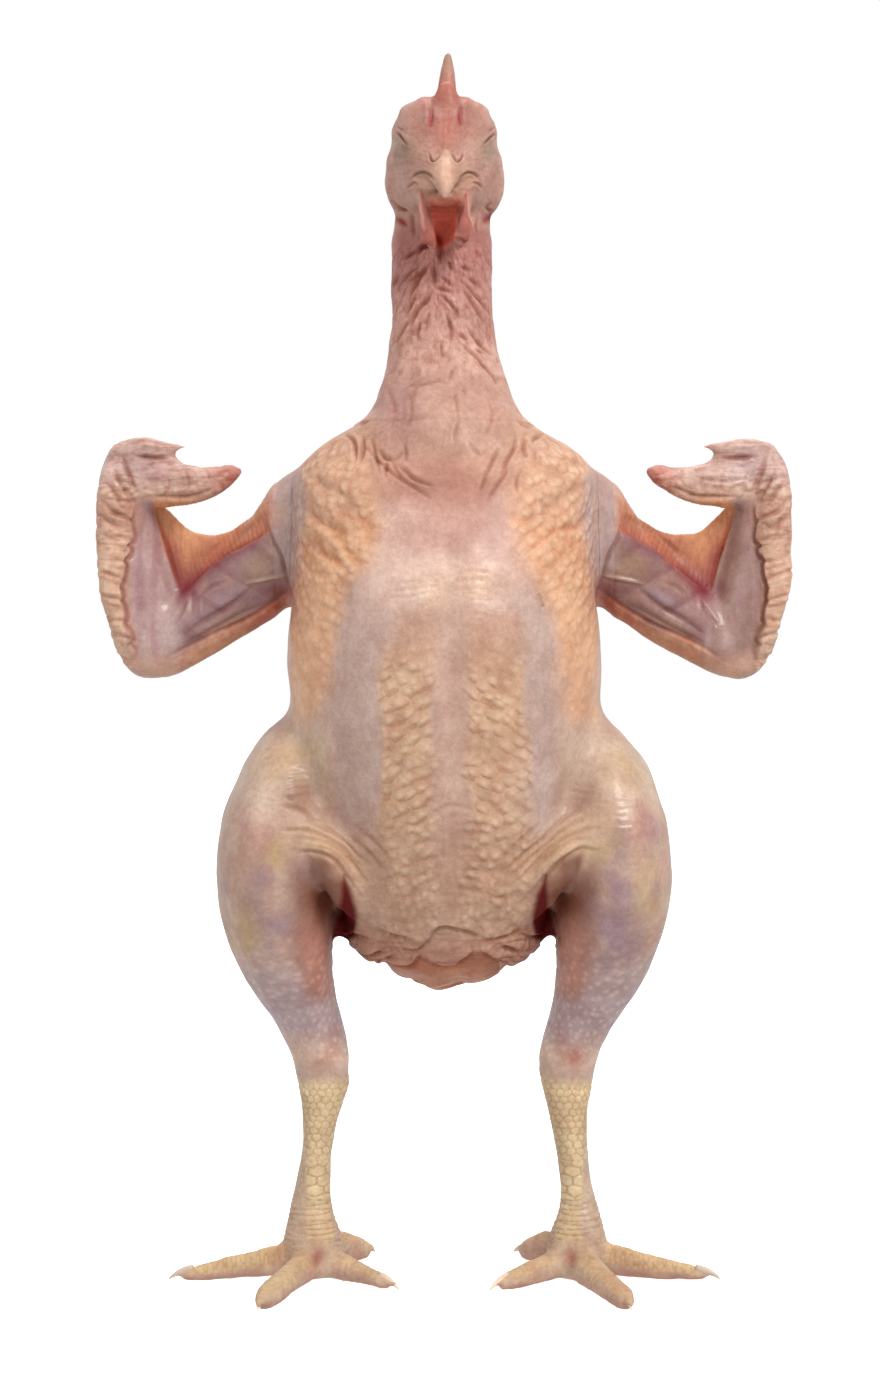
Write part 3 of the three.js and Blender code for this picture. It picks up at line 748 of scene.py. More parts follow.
# ---------------------------------------------------------------------------------------------
# Head. Bare pink skin with sunken, closed eyes, a thin blade of a comb, a pale horn beak whose
# corners run back into the cheeks, and two wattles that hang either side of a red throat.
# ---------------------------------------------------------------------------------------------
HEAD_PINK = colour(198, 154, 138)
BROW_RED = colour(150, 90, 76)
COMB_SALMON = colour(182, 112, 97)
COMB_TIP = colour(184, 148, 130)
LID_GREY = colour(158, 134, 112)
HORN = colour(190, 148, 126)
HORN_LIP = colour(222, 176, 154)
CULMEN = colour(206, 164, 142)
CHIN_SHADE = colour(176, 132, 110)
WATTLE_PINK = colour(180, 108, 96)
WATTLE_DARK = colour(158, 84, 74)
WATTLE_RIM = colour(238, 174, 156)
THROAT_RED = colour(230, 116, 94)
BLOOD = colour(146, 18, 8)
LINE_BROWN = colour(110, 66, 48)
COMB_RIDGE = [(3.0, 489.0), (1.8, 484.0), (0.2, 479.5), (0.2, 473.5)]
HORN_OUTLINE = [
    (0.5, 472.6), (-0.9, 471.7), (-2.7, 468.8), (-4.5, 467.5), (-7.9, 465.4), (-11.7, 463.5), (-14.0, 460.6),
    (-11.0, 457.5), (-9.2, 455.3), (-4.7, 455.9), (-2.7, 454.6), (-0.8, 452.4), (1.1, 452.0), (3.4, 453.0),
    (4.7, 455.3), (6.9, 456.2), (10.8, 455.6), (12.5, 457.8), (15.0, 460.7), (12.7, 463.8), (9.5, 465.9),
    (5.3, 467.5), (3.4, 470.1), (2.1, 472.0),
]
CULMEN_OUTLINE = [
    (0.5, 472.4), (-0.9, 470.0), (-1.3, 464.0), (-1.7, 457.5), (-1.6, 454.0), (-0.5, 452.2), (1.1, 451.8),
    (2.7, 452.8), (3.5, 456.0), (3.1, 461.0), (2.4, 467.0), (1.8, 471.5),
]
WATTLES = (
    [(-10.8, 455.5), (-11.1, 448.5), (-11.9, 442), (-11.7, 436.3), (-9.8, 432.8), (-6.9, 431.8),
     (-5.0, 433.7), (-4.9, 440.1), (-5.9, 446.6), (-7.9, 451.7), (-9.2, 455.5)],
    [(11.4, 455.5), (11.6, 448.5), (12.1, 442), (12.7, 437), (10.0, 433.2), (7.0, 434.0),
     (5.3, 437.6), (5.3, 442.7), (6.9, 449.2), (8.5, 453.7), (9.8, 455.5)],
)
WATTLE_RIMS = (
    [(-10.4, 455.0), (-9.9, 447.0), (-8.6, 443.6), (-7.3, 438.0)],
    [(9.8, 455.0), (10.5, 449.6), (10.8, 444.0), (11.0, 437.0)],
)
THROAT = [
    (-8.4, 452.0), (-5.6, 444.0), (-5.4, 436.0), (-3.0, 430.0), (1.0, 431.0), (5.6, 436.0), (5.6, 443.0),
    (8.4, 452.0), (7.0, 455.5), (-6.5, 455.0),
]
NOSTRIL_FOLDS = (
    [(-6.6, 471.0), (-5.9, 468.2), (-4.5, 467.3), (-2.7, 468.8), (-1.9, 470.2)],
    [(3.0, 470.6), (3.6, 469.2), (5.3, 467.2), (6.9, 468.2), (7.8, 470.9)],
)
MOUTH_LINES = (
    [(-14.0, 459.8), (-11.7, 462.0), (-8.8, 462.7), (-6.0, 461.4), (-4.3, 459.1)],
    [(5.6, 459.1), (7.6, 461.4), (10.1, 462.6), (12.7, 461.7), (14.3, 459.8)],
)
EYE_SLITS = (
    [(-21.4, 480.1), (-18.4, 477.5), (-15.4, 474.2)],
    [(22.4, 479.4), (18.9, 476.8), (16.0, 474.4)],
)
BLOOD_FOLDS = (
    ([(-5.6, 490.0), (-5.6, 486.5), (-6.2, 480.8)], 0.8),
    ([(6.4, 490.0), (6.6, 486.5), (6.9, 482.0)], 0.8),
    ([(-21.2, 444.0), (-18.4, 442.2), (-15.3, 439.8)], 1.2),
    ([(22.2, 446.0), (18.8, 443.6), (15.6, 441.2)], 1.4),
    ([(-4.6, 433.6), (-2.6, 435.2), (-1.6, 430.0)], 1.6),
)
HEAD_CREASES = (
    ([(-15.6, 455.9), (-12.6, 458.4), (-10.5, 457.6)], 0.5, 0.6),
    ([(11.4, 458.2), (13.6, 458.0), (15.8, 455.9)], 0.5, 0.6),
    ([(21.7, 481.6), (18.5, 480.0)], 0.4, 0.5),
    ([(-20.5, 482.2), (-17.5, 480.2)], 0.4, 0.3),
    ([(-22.7, 451.1), (-18.8, 447.9), (-15.3, 446.3)], 0.8, 0.8),
    ([(-19.0, 447.8), (-15.0, 446.6)], 0.6, 0.6),
    ([(19.8, 449.8), (17.8, 447.6), (20.4, 446.3)], 0.8, 0.8),
    ([(-13.6, 445.3), (-13.4, 440.8), (-12.9, 436.2)], 0.9, 1.1),
    ([(13.9, 444.0), (13.5, 439.5), (14.0, 437.0)], 0.8, 0.8),
    ([(-11.7, 429.9), (-9.2, 431.5), (-5.3, 432.1)], 0.9, 1.0),
    ([(5.0, 435.7), (8.2, 431.2)], 0.8, 0.7),
    ([(12.7, 430.5), (14.3, 426.7)], 0.7, 0.6),
)


def head_skin(s):
    on_head = step(438, 446, s.z)
    comb = step(486, 494, s.z) * (1 - step(9, 13, s.out))
    horn = s.inside(HORN_OUTLINE, 0.5) * step(6, 10, -s.y)
    culmen = s.inside(CULMEN_OUTLINE, 0.6) * step(6, 10, -s.y)
    hanging_front = step(20, 23, -s.y)
    wattles = [s.inside(outline, 0.8, anywhere=True) * hanging_front for outline in WATTLES]
    wattle = np.clip(sum(wattles), 0, 1)
    s.lift += on_head * (1 - comb) * (1 - horn) * (0.4 * lumps(s.at, 8, 51) + 0.15 * lumps(s.at, 3, 52))
    s.lift += comb * 1.1 * np.clip((508 - s.z) / 16, 0, 1)
    s.shift[:, 2] += comb * 3.0 * step(496, 512, s.z)
    s.lift -= 1.5 * on_head * hump(477, 4.5, s.z) * step(14, 20, s.out)
    s.lift += 0.8 * on_head * hump(463, 6, s.z) * step(18, 23, s.out)
    s.lift += 1.4 * hump(491, 4, s.z) * between(8, 17, 3, s.out)

    s.paint(HEAD_PINK, on_head)
    s.paint(BROW_RED, on_head * s.spot(0.5, 484, 16, 10))
    s.paint(COMB_SALMON, np.maximum(comb, on_head * s.spot(0.9, 481, 4.5, 10)))
    s.paint(COMB_TIP, comb * step(497, 510, s.z) * 0.9)
    for across in (-18.2, 18.6):
        lid = s.spot(across, 472.2, 5.2, 5.0) * on_head
        s.paint(LID_GREY, 0.85 * lid)
        s.lift += 0.9 * s.spot(across, 475.5, 4.5, 4.5) * on_head

    s.paint(HORN, horn)
    s.paint(CULMEN, culmen)
    s.paint(HORN_LIP, horn * (1 - step(459.5, 461.5, s.up)) * step(4, 6, np.abs(s.across - 0.9)))
    throat = s.inside(THROAT, 1.6, anywhere=True) * (1 - horn) * (1 - wattle) * step(-8, -2, -s.y)
    s.paint(CHIN_SHADE, throat)
    s.paint(THROAT_RED, throat * (1 - step(444, 455, s.up + 0.4 * s.waver)))
    s.mark("deep", throat)
    s.lift += 1.6 * throat * s.facing * (1 - step(446, 450, s.up))
    for i, hanging in enumerate(wattles):
        s.paint(WATTLE_PINK, hanging)
        s.paint(WATTLE_DARK, hanging * step(0, 3, -8.6 - s.across) * (i == 0))
    s.mark("deep", wattle * (1 - s.facing))
    for rim in WATTLE_RIMS:
        s.line(rim, 0.7, WATTLE_RIM, 0.9, anywhere=True)
    middle = 7.4 + 0.2 * (s.z - 441.5)
    outer = step(-1, 2, s.out - middle) * hanging_front * between(425, 440, 4, s.z)
    outer *= 1 - step(11, 13, s.out)
    s.shift[:, 0] += 2.4 * np.sign(s.x) * outer * (1 - step(430, 458, s.z))

    s.crease(COMB_RIDGE, 1.3, -1.1, -0.4, shade_and_stain=0)
    for points in NOSTRIL_FOLDS:
        s.crease(points, 0.45, 0.6, 0.7, shade_and_stain=0.9)
        s.line(points, 0.45, LINE_BROWN, 0.6)
    for points in MOUTH_LINES:
        s.crease(points, 0.55, 0.5, 0.9, shade_and_stain=0.4)
        s.line(points, 0.5, LINE_BROWN, 0.8)
    for points in EYE_SLITS:
        s.crease(points, 0.55, 0.8, 0.6, shade_and_stain=0.4)
        s.line(points, 0.45, LINE_BROWN, 0.9)
    for points, width in BLOOD_FOLDS:
        s.crease(points, 1.2 * width, 0.6, 0.4, shade_and_stain=0)
        s.line(points, 1.5 * width, BLOOD, 1.0)
    for points, width, depth in HEAD_CREASES:
        s.crease(points, width, depth)
    plain = on_head * (1 - comb) * (1 - horn) * (1 - wattle)
    turn = np.arctan2(np.abs(s.across - 0.7), s.up - 466)
    flow = np.stack([turn * 26, np.hypot(s.across, s.up - 466) * 0.3, s.x * 0.3 + s.y * 0.2], axis=1)
    s.flow += (flow - s.flow) * (s.z >= 442)[:, None]
    s.mark("wrinkle", plain * step(444, 450, s.z) * 0.5)
    s.mark("pore", on_head * (1 - horn))


# ---------------------------------------------------------------------------------------------
# Wings. The inner side of the arm is smooth, thin, purple skin over muscle. A web of orange skin
# spans the elbow, and a thick scalloped roll that held the flight feathers edges the forearm.
# ---------------------------------------------------------------------------------------------
ROLL_PEACH = colour(226, 188, 162)
ROLL_PINK = colour(208, 166, 148)
FOREARM_MAUVE = colour(194, 164, 160)
FOREARM_STREAK = colour(172, 126, 134)
FOREARM_EDGE = colour(204, 158, 138)
FOREARM_BROWN = colour(150, 112, 98)
ARM_MAUVE = colour(156, 118, 120)
ARM_DARK = colour(138, 92, 96)
ARM_OLIVE = colour(176, 146, 112)
ARM_TAN = colour(186, 150, 136)
ARM_FLESH = colour(170, 128, 114)
# painted sheen, lilac grey, for the streak along the arm
ARM_PAINTED_SHEEN = colour(170, 142, 150)
WEB_ORANGE = colour(228, 164, 116)
WEB_RED = colour(186, 104, 82)
CROOK_MAGENTA = colour(140, 56, 70)
ARM_ROLL_ORANGE = colour(216, 156, 124)
ARMPIT_RED = colour(198, 96, 66)
ARMPIT_DARK = colour(140, 48, 36)
ELBOW_PEACH = colour(218, 172, 148)
HAND_PINK = colour(214, 180, 166)
HAND_MAUVE = colour(202, 170, 168)
HAND_EDGE = colour(222, 184, 162)
TIP_RED = colour(196, 116, 102)
WING_BACK = colour(214, 172, 150)
SHOULDER_GREY = colour(188, 162, 158)
TENDON = colour(206, 180, 150)
# painted glints near the elbow
ARM_PAINTED_GLINT = colour(226, 202, 194)
SCALLOPS = 8
SCALLOP_EDGE = ((-131.0, 257.7), (-134.3, 272), (-135.9, 286), (-135.1, 298.7), (-132.4, 308), (-130.2, 324))
FOREARM_LINE = [(-111.8, 286.7), (-115.6, 300.2), (-120.1, 313.7), (-122.3, 321.9)]
ARM_LINE = [(-73.6, 311.4), (-81.8, 306.9), (-89.3, 303.2), (-96.1, 297.9), (-102.1, 292.7), (-108.1, 288.2)]
ROLL_LINE = [(-63.8, 287.4), (-72.1, 281.4), (-81.1, 275.4), (-88.6, 271.7), (-97.6, 267.9), (-108.1, 262.7),
             (-115.6, 258.2)]
SHOULDER_LINE = [(-73.3, 313.2), (-71.3, 308.2), (-67.6, 301.7), (-64.8, 291.2), (-62.8, 284.4)]
TENDON_LINE = [(-83.5, 290.0), (-76.0, 291.6), (-66.0, 293.4)]
WING_CREASES = (
    ([(-108.1, 282.9), (-111.1, 276.9), (-114.1, 272.4)], 0.8, 0.8, 0.3),
    ([(-81.1, 288.2), (-90.1, 280.7), (-100.6, 274.7), (-108.8, 268.7)], 1.4, 1.0, 0.7),
    ([(-76.0, 281.5), (-88.0, 276.0), (-100.0, 269.5), (-110.0, 264.5)], 1.0, 0.6, 0.5),
    ([(-92.0, 290.5), (-98.0, 288.5), (-103.0, 284.5)], 0.8, 0.6, 0.5),
    ([(-129.8, 343.3), (-123.1, 342.8), (-117.1, 342.6)], 0.9, 1.5, 1.3),
    ([(-135.5, 343.7), (-132.8, 336.2), (-129.5, 328.7)], 1.0, 1.2, 0.9),
    ([(-121.5, 326.4), (-111.1, 326.3), (-105.1, 326.8), (-97.1, 330.1)], 1.0, 1.1, 0.9),
    ([(-138.8, 337.7), (-135.8, 331.7), (-132.1, 324.9)], 1.0, 1.1, 0.8),
    ([(-142.0, 332.0), (-138.0, 327.0), (-135.0, 322.0)], 1.0, 1.0, 0.6),
    ([(-145.0, 326.0), (-140.0, 321.0), (-134.0, 318.0)], 1.0, 0.9, 0.5),
    ([(-145.0, 319.0), (-140.0, 315.0), (-135.0, 313.0)], 1.0, 0.9, 0.5),
    ([(-144.5, 311.0), (-140.0, 309.0), (-136.0, 308.0)], 1.0, 0.8, 0.4),
    ([(-128.0, 334.0), (-116.0, 333.0), (-104.0, 335.0)], 0.8, 0.5, 0.4),
    ([(-131.0, 349.0), (-124.0, 349.5), (-118.0, 348.0)], 0.8, 0.6, 0.4),
    ([(-117.0, 337.0), (-116.0, 331.0), (-118.0, 327.0)], 0.7, 0.4, 0.4),
    ([(-109.0, 337.5), (-107.5, 332.0), (-109.0, 328.5)], 0.7, 0.4, 0.4),
    ([(-101.0, 338.5), (-99.0, 334.0), (-101.0, 331.0)], 0.7, 0.4, 0.4),
)


def mirrored(points):
    """The same curve on the bird's other side, run the other way so that its left stays put."""
    return [(-x, z) for x, z in reversed(points)]


def scalloped_edge():
    heights = np.linspace(SCALLOP_EDGE[0][1], SCALLOP_EDGE[-1][1], SCALLOPS * 6 + 1)
    edge_across, edge_up = zip(*SCALLOP_EDGE)
    across = np.interp(heights, edge_up, edge_across)
    uneven = heights + 1.6 * np.sin(0.31 * heights)
    turns = (uneven - uneven[0]) / (uneven[-1] - uneven[0]) * SCALLOPS * math.pi
    lobes = np.abs(np.sin(turns)) ** 0.6 * (0.8 + 0.4 * np.sin(0.17 * heights))
    return list(zip(across + 2.4 * lobes - 1.0, heights))


def wing_skin(s):
    reach = np.abs(s.across)
    wavy = reach + 0.35 * s.waver
    high = s.up + 0.35 * s.waver_up
    front = s.wing * step(-0.25, 0.1, -s.normal[:, 1])
    forearm_x = np.interp(s.up, *zip(*[(z, -x) for x, z in FOREARM_LINE]))
    scallop_x = np.interp(s.up, *zip(*[(z, -x) for x, z in SCALLOP_EDGE]))
    arm_z = np.interp(reach, *zip(*[(-x, z) for x, z in ARM_LINE]))
    roll_z = np.interp(reach, *zip(*[(-x, z) for x, z in ROLL_LINE]))
    s.lift += s.wing * (0.6 * lumps(s.at, 14, 61) + 0.25 * lumps(s.at, 6, 62))

    def patch(across, up, wide, high, lean=0.0):
        right = reach - across
        return front * hump(0, 1, np.hypot(right / wide, (s.up - up - lean * right) / high))

    s.paint(WING_BACK, s.wing)
    s.paint(FOREARM_MAUVE, front)
    forearm = front * step(-1, 1, reach - forearm_x) * (1 - step(-1, 1, reach - scallop_x))
    streaks = lumps(np.stack([s.x / 3.0, s.z / 22, 0 * s.x], axis=1), 1.0, 64)
    s.paint(FOREARM_STREAK, forearm * step(-0.1, 0.7, streaks) * 0.6)
    s.paint(FOREARM_EDGE, forearm * step(-6, -1, reach - scallop_x) * 0.8)
    s.paint(FOREARM_BROWN, forearm * (s.x > 0) * (0.66 - 0.3 * step(-0.2, 0.5, streaks)))
    web = front * step(-1, 1, forearm_x - wavy) * step(-1.5, 1.5, high - arm_z) * step(66, 76, reach)
    web *= 1 - step(324, 330, s.up)
    by_forearm = step(-11, 0, reach - forearm_x + 1) * (1 - step(300, 324, s.up))
    depth = np.clip(np.maximum(1 - (high - arm_z) / 22, by_forearm), 0, 1)
    ribs = 0.5 + 0.5 * np.sin(reach * 3.1 - 0.6 * s.up + 0.9 * s.waver)
    s.paint(WEB_ORANGE, web * 0.95)
    arm_root = front * step(60, 70, reach + s.waver) * (1 - step(74, 88, wavy))
    s.paint(SHOULDER_PEACH, arm_root * step(-1, 2, high - arm_z) * 0.85)
    s.paint(WEB_RED, web * depth * (0.75 + 0.25 * ribs))
    s.paint(CROOK_MAGENTA, web * depth**2 * hump(106, 14, reach) * 0.6)
    s.lift += 0.12 * web * ribs
    s.lift -= 1.4 * front * between(2, 7, 2.5, high - arm_z) * between(78, 96, 6, reach)

    arm = front * (1 - step(-1.5, 1.5, high - arm_z)) * step(-2, 2, high - roll_z)
    arm *= 1 - step(106, 114, wavy)
    s.paint(ARM_MAUVE, arm)
    along_arm = (s.out * 0.86 + s.z * 0.5) / 24
    across_arm = (s.z * 0.86 - s.out * 0.5) / 3
    grain = lumps(np.stack([along_arm, across_arm, 0 * s.x], axis=1), 1.0, 65)
    s.paint(ARM_FLESH, arm * step(-0.1, 0.6, lumps(s.at * [0.6, 1, 1], 7, 66)) * 0.7)
    # a painted sheen, lilac grey, streaked along the middle of the arm
    s.paint(ARM_PAINTED_SHEEN, arm * patch(93, 282, 14, 3.5, -0.75) * 0.7)
    s.paint(ARM_DARK, arm * step(0, 0.7, grain) * 0.7)
    s.paint(ARM_TAN, arm * patch(92, 274, 12, 3.5, -0.45) * 0.8)
    s.paint(ARM_OLIVE, arm * patch(78, 296.5, 8, 7, -0.3) * 0.55)
    s.paint(CROOK_MAGENTA, patch(108.5, 287.5, 4.5, 6) * 0.9)
    s.paint(CROOK_MAGENTA, front * hump(-0.5, 2.6, high - arm_z) * between(80, 108, 8, reach) * 0.55)
    arm_roll = front * (1 - step(-2.0, 2.5, high - roll_z)) * (1 - step(104, 122, wavy))
    s.paint(ARM_ROLL_ORANGE, arm_roll * 0.9)
    s.paint(ARMPIT_RED, arm_roll * (1 - step(70, 92, reach)) * 0.85)
    s.paint(ARMPIT_DARK, patch(66, 287, 4.5, 5) * 0.8)
    s.paint(ELBOW_PEACH, patch(119, 253, 15, 6, 0.25) * 0.9)
    roll = front * step(-0.5, 0.5, reach - scallop_x - 0.2) * (1 - step(322, 334, high))
    s.paint(ROLL_PEACH, roll)
    s.paint(ROLL_PINK, roll * step(300, 322, high) * 0.8)
    hand = s.wing * step(323, 329, s.up) * step(78, 90, reach)
    above_edge = s.up - 0.35 * np.clip(104 - reach, 0, 20)
    s.paint(HAND_PINK, hand * 0.9)
    s.paint(HAND_MAUVE, hand * np.clip(patch(128, 340, 12, 8), 0, 1) * 0.8)
    s.paint(HAND_EDGE, hand * (1 - step(328, 333, above_edge)) * 0.8)
    s.paint(TIP_RED, hand * (1 - step(88, 104, wavy)) * 0.85)
    shoulder = between(61, 70, 5, reach + 0.5 * s.waver) * between(300, 332, 10, high)
    shoulder *= step(0, 0.3, -s.normal[:, 1])
    s.paint(SHOULDER_GREY, shoulder * np.clip(0.75 + 0.4 * lumps(s.at, 7, 73), 0, 1))

    slope = 0.45 * (s.out - 90) * (1 - step(290, 310, s.z))
    s.rows(s.wing > 0.4, s.x / 4.4, (s.z + slope) / 4.2)
    s.feather_roots(arm_roll * 0.7, 0.5)
    s.feather_roots(step(0.45, 0.7, s.wing) * step(0.2, 0.5, s.normal[:, 1]) * (1 - web), 0.4)
    s.feather_roots(hand * (1 - step(330, 334, above_edge)), 0.6)
    folds = sharp_folds(np.stack([s.x / 9, s.z / 3.2, s.y / 6], axis=1), 71) ** 3
    s.lift -= 0.4 * folds * (roll + 0.6 * hand)
    # painted shade and blood in the folds of the roll and the hand
    s.shade_and_stain(FOLD_SHADE_AND_BLOOD, 0.4 * folds * (roll + 0.7 * hand))

    s.pull(114, 347.5, 4.5, (-5, 0.5))
    s.pull(125, 245.5, 8, (0, -1.6))
    edge = scalloped_edge()
    lines = [(FOREARM_LINE, 1.0, 6, 0.9, 0.8), (ARM_LINE, 0.6, 8, 0.5, 0.5), (ROLL_LINE, 0.6, 8, 0.6, 0.9)]
    lines += [(SHOULDER_LINE, 1.4, 7, 1.2, 0.7), (edge, 1.5, 7, 1.3, 0.9)]
    for turned in (list, mirrored):
        for points, height, fade, drop, shade_and_stain in lines:
            s.flap(turned(points), height, fade, drop, shade_and_stain=shade_and_stain)
        for i in range(SCALLOPS + 2):
            x, z = edge[min(i * 6, len(edge) - 1)]
            rise = 3 + 2.5 * math.sin(i * 2.1)
            z += 7 * max(0, i - SCALLOPS)
            short = [(x + 1.0, z), (x - 2.5, z + 0.4 * rise), (x - 5.5 - rise, z + rise)]
            s.crease(turned(short), 0.8, 0.5 + 0.08 * rise, 0.6, shade_and_stain=0.3)
        for points, width, depth, shade_and_stain in WING_CREASES:
            s.crease(turned(points), width, depth, shade_and_stain=shade_and_stain)
        s.crease(turned(TENDON_LINE), 0.7, -0.7, 0.4, shade_and_stain=0)
        s.line(turned(TENDON_LINE), 0.7, TENDON, 0.6)
    # painted glints near the elbow; the same spots are also made wet and glossy
    gloss = patch(114, 268, 5, 5) + patch(105, 280, 2.5, 4) + patch(117, 276, 3, 8)
    s.paint(ARM_PAINTED_GLINT, np.clip(gloss, 0, 1) * step(0.1, 0.6, streaks) * 0.8)
    s.mark("wet", (forearm + arm) * (0.7 + 0.3 * lumps(s.at, 5, 72)) + gloss)
    s.mark("pore", s.wing * 0.6)
    s.mark("wrinkle", s.wing * np.maximum(0.7 * roll, np.maximum(0.8 * hand, 0.4 * web)))
    stretched = np.where((web > 0.5)[:, None], s.at * [1.6, 0.3, 0.3], s.at * [0.4, 0.4, 1.2])
    s.flow += (stretched - s.flow) * (s.wing > 0.3)[:, None]


# ---------------------------------------------------------------------------------------------
# Thighs, drumsticks and flanks. Thick purple muscle shows through thin skin, with patches of
# yellow fat. The flank's skin is stretched in folds from the knee to the belly.
# ---------------------------------------------------------------------------------------------
THIGH_TAN = colour(200, 168, 150)
THIGH_PALE = colour(216, 192, 172)
THIGH_YELLOW = colour(206, 174, 124)
THIGH_PINK = colour(196, 146, 136)
THIGH_PURPLE = colour(168, 136, 146)
DRUM_MAUVE = colour(188, 164, 168)
# painted shade, reddish brown, on the thighs' inner sides
INNER_THIGH_SHADE = colour(128, 72, 50)
INNER_DRUM = colour(198, 141, 124)
HOCK_PINK = colour(228, 196, 176)
HOCK_GREY = colour(184, 154, 144)
HOCK_RED = colour(184, 104, 92)
FLANK_TAN = colour(212, 176, 142)
FLANK_SHADE = colour(160, 118, 98)
THIGH_PATCHES = (
    (THIGH_YELLOW, -73, 175.5, 9, 7, 0.0, 0.8),
    (THIGH_YELLOW, -83, 146, 6, 11, 0.5, 0.9),
    (THIGH_YELLOW, -66, 217, 12, 8, 0.3, 0.5),
    (THIGH_PINK, -80, 186, 6, 15, 0.0, 0.7),
    (THIGH_PURPLE, -77, 162, 6, 10, -0.4, 0.8),
    (THIGH_PURPLE, -68, 147, 14, 7, -0.2, 0.8),
    (THIGH_PURPLE, -58, 168, 7, 9, 0.0, 0.6),
    (THIGH_YELLOW, 66, 180, 10, 9, 0.0, 0.45),
    (THIGH_YELLOW, 84, 160, 8, 14, 0.0, 0.5),
    (THIGH_YELLOW, 78, 210, 12, 9, -0.3, 0.5),
    (THIGH_PINK, 82, 190, 5, 14, 0.0, 0.7),
    (THIGH_PURPLE, 74, 160, 6, 11, 0.3, 0.6),
    (THIGH_PURPLE, 71, 142, 9, 12, 0.2, 0.9),
    (THIGH_PURPLE, 60, 158, 8, 7, 0.0, 0.5),
)
HOCK_BRUISES = ((-51.5, 88.5, 0.4), (54.5, 90.5, 1.0))
# dark red of blood, deepened with painted shade, in the hollow beside the belly
HOLLOW_BLOOD_AND_SHADE = colour(102, 3, 1)
HOLLOW_DEPTH = 54.0  # how far back the hollow beside the belly reaches
INNER_THIGH_OUTLINE = [
    (-58, 177), (-50, 174.5), (-43, 168), (-38.5, 160), (-36.5, 150), (-38, 143), (-44, 139),
    (-50, 141), (-53, 150), (-57, 162),
]
HOLLOW_OUTLINE = [
    (-42, 167), (-39, 159), (-37, 150), (-38, 143), (-42, 138), (-46.5, 139), (-46, 147), (-43.8, 156),
]
FLANK_FLAPS = (
    ([(-66.2, 201.2), (-62.1, 200.4)], 0.4),
    ([(-66.6, 197.1), (-60.0, 196.0), (-53.0, 191.5)], 0.5),
    ([(-67.1, 187.1), (-57.9, 187.1), (-49.6, 183.8), (-42.2, 179.6), (-36.0, 173.0)], 0.9),
    ([(-61.3, 183.8), (-53.0, 182.9), (-44.6, 179.6), (-38.0, 173.0), (-33.0, 166.3)], 0.8),
    ([(-58.0, 180.8), (-49.0, 179.0), (-42.0, 174.0), (-37.0, 166.0)], 0.6),
    ([(-62.4, 178.4), (-53.0, 178.0), (-45.5, 174.6), (-40.5, 168.0), (-36.3, 161.4)], 1.5),
    ([(-56.0, 191.0), (-48.0, 187.0), (-40.0, 181.0), (-33.0, 174.0)], 0.5),
    ([(-38.0, 183.8), (-31.4, 178.0), (-25.5, 170.5)], 0.35),
    ([(-36.0, 188.0), (-29.0, 182.0), (-23.0, 175.0)], 0.3),
    ([(23.0, 175.0), (29.0, 181.0), (38.0, 189.0)], 0.3),
    ([(25.5, 170.5), (32.4, 177.0), (40.3, 183.2), (46.7, 189.7), (56.3, 196.9)], 0.5),
    ([(28.0, 168.5), (35.0, 175.0), (43.0, 182.0), (50.0, 188.0), (60.0, 193.0)], 0.5),
    ([(30.6, 166.4), (37.1, 172.8), (44.3, 180.0), (56.3, 186.5), (64.0, 188.0)], 0.8),
    ([(34.7, 167.6), (41.9, 175.8), (52.3, 182.2), (60.0, 184.0)], 0.8),
    ([(33.2, 157.9), (40.3, 166.0), (46.7, 173.0), (56.3, 179.4), (63.0, 179.0)], 1.5),
    ([(17.8, 159.1), (22.6, 159.1), (29.0, 160.7)], 0.4),
)


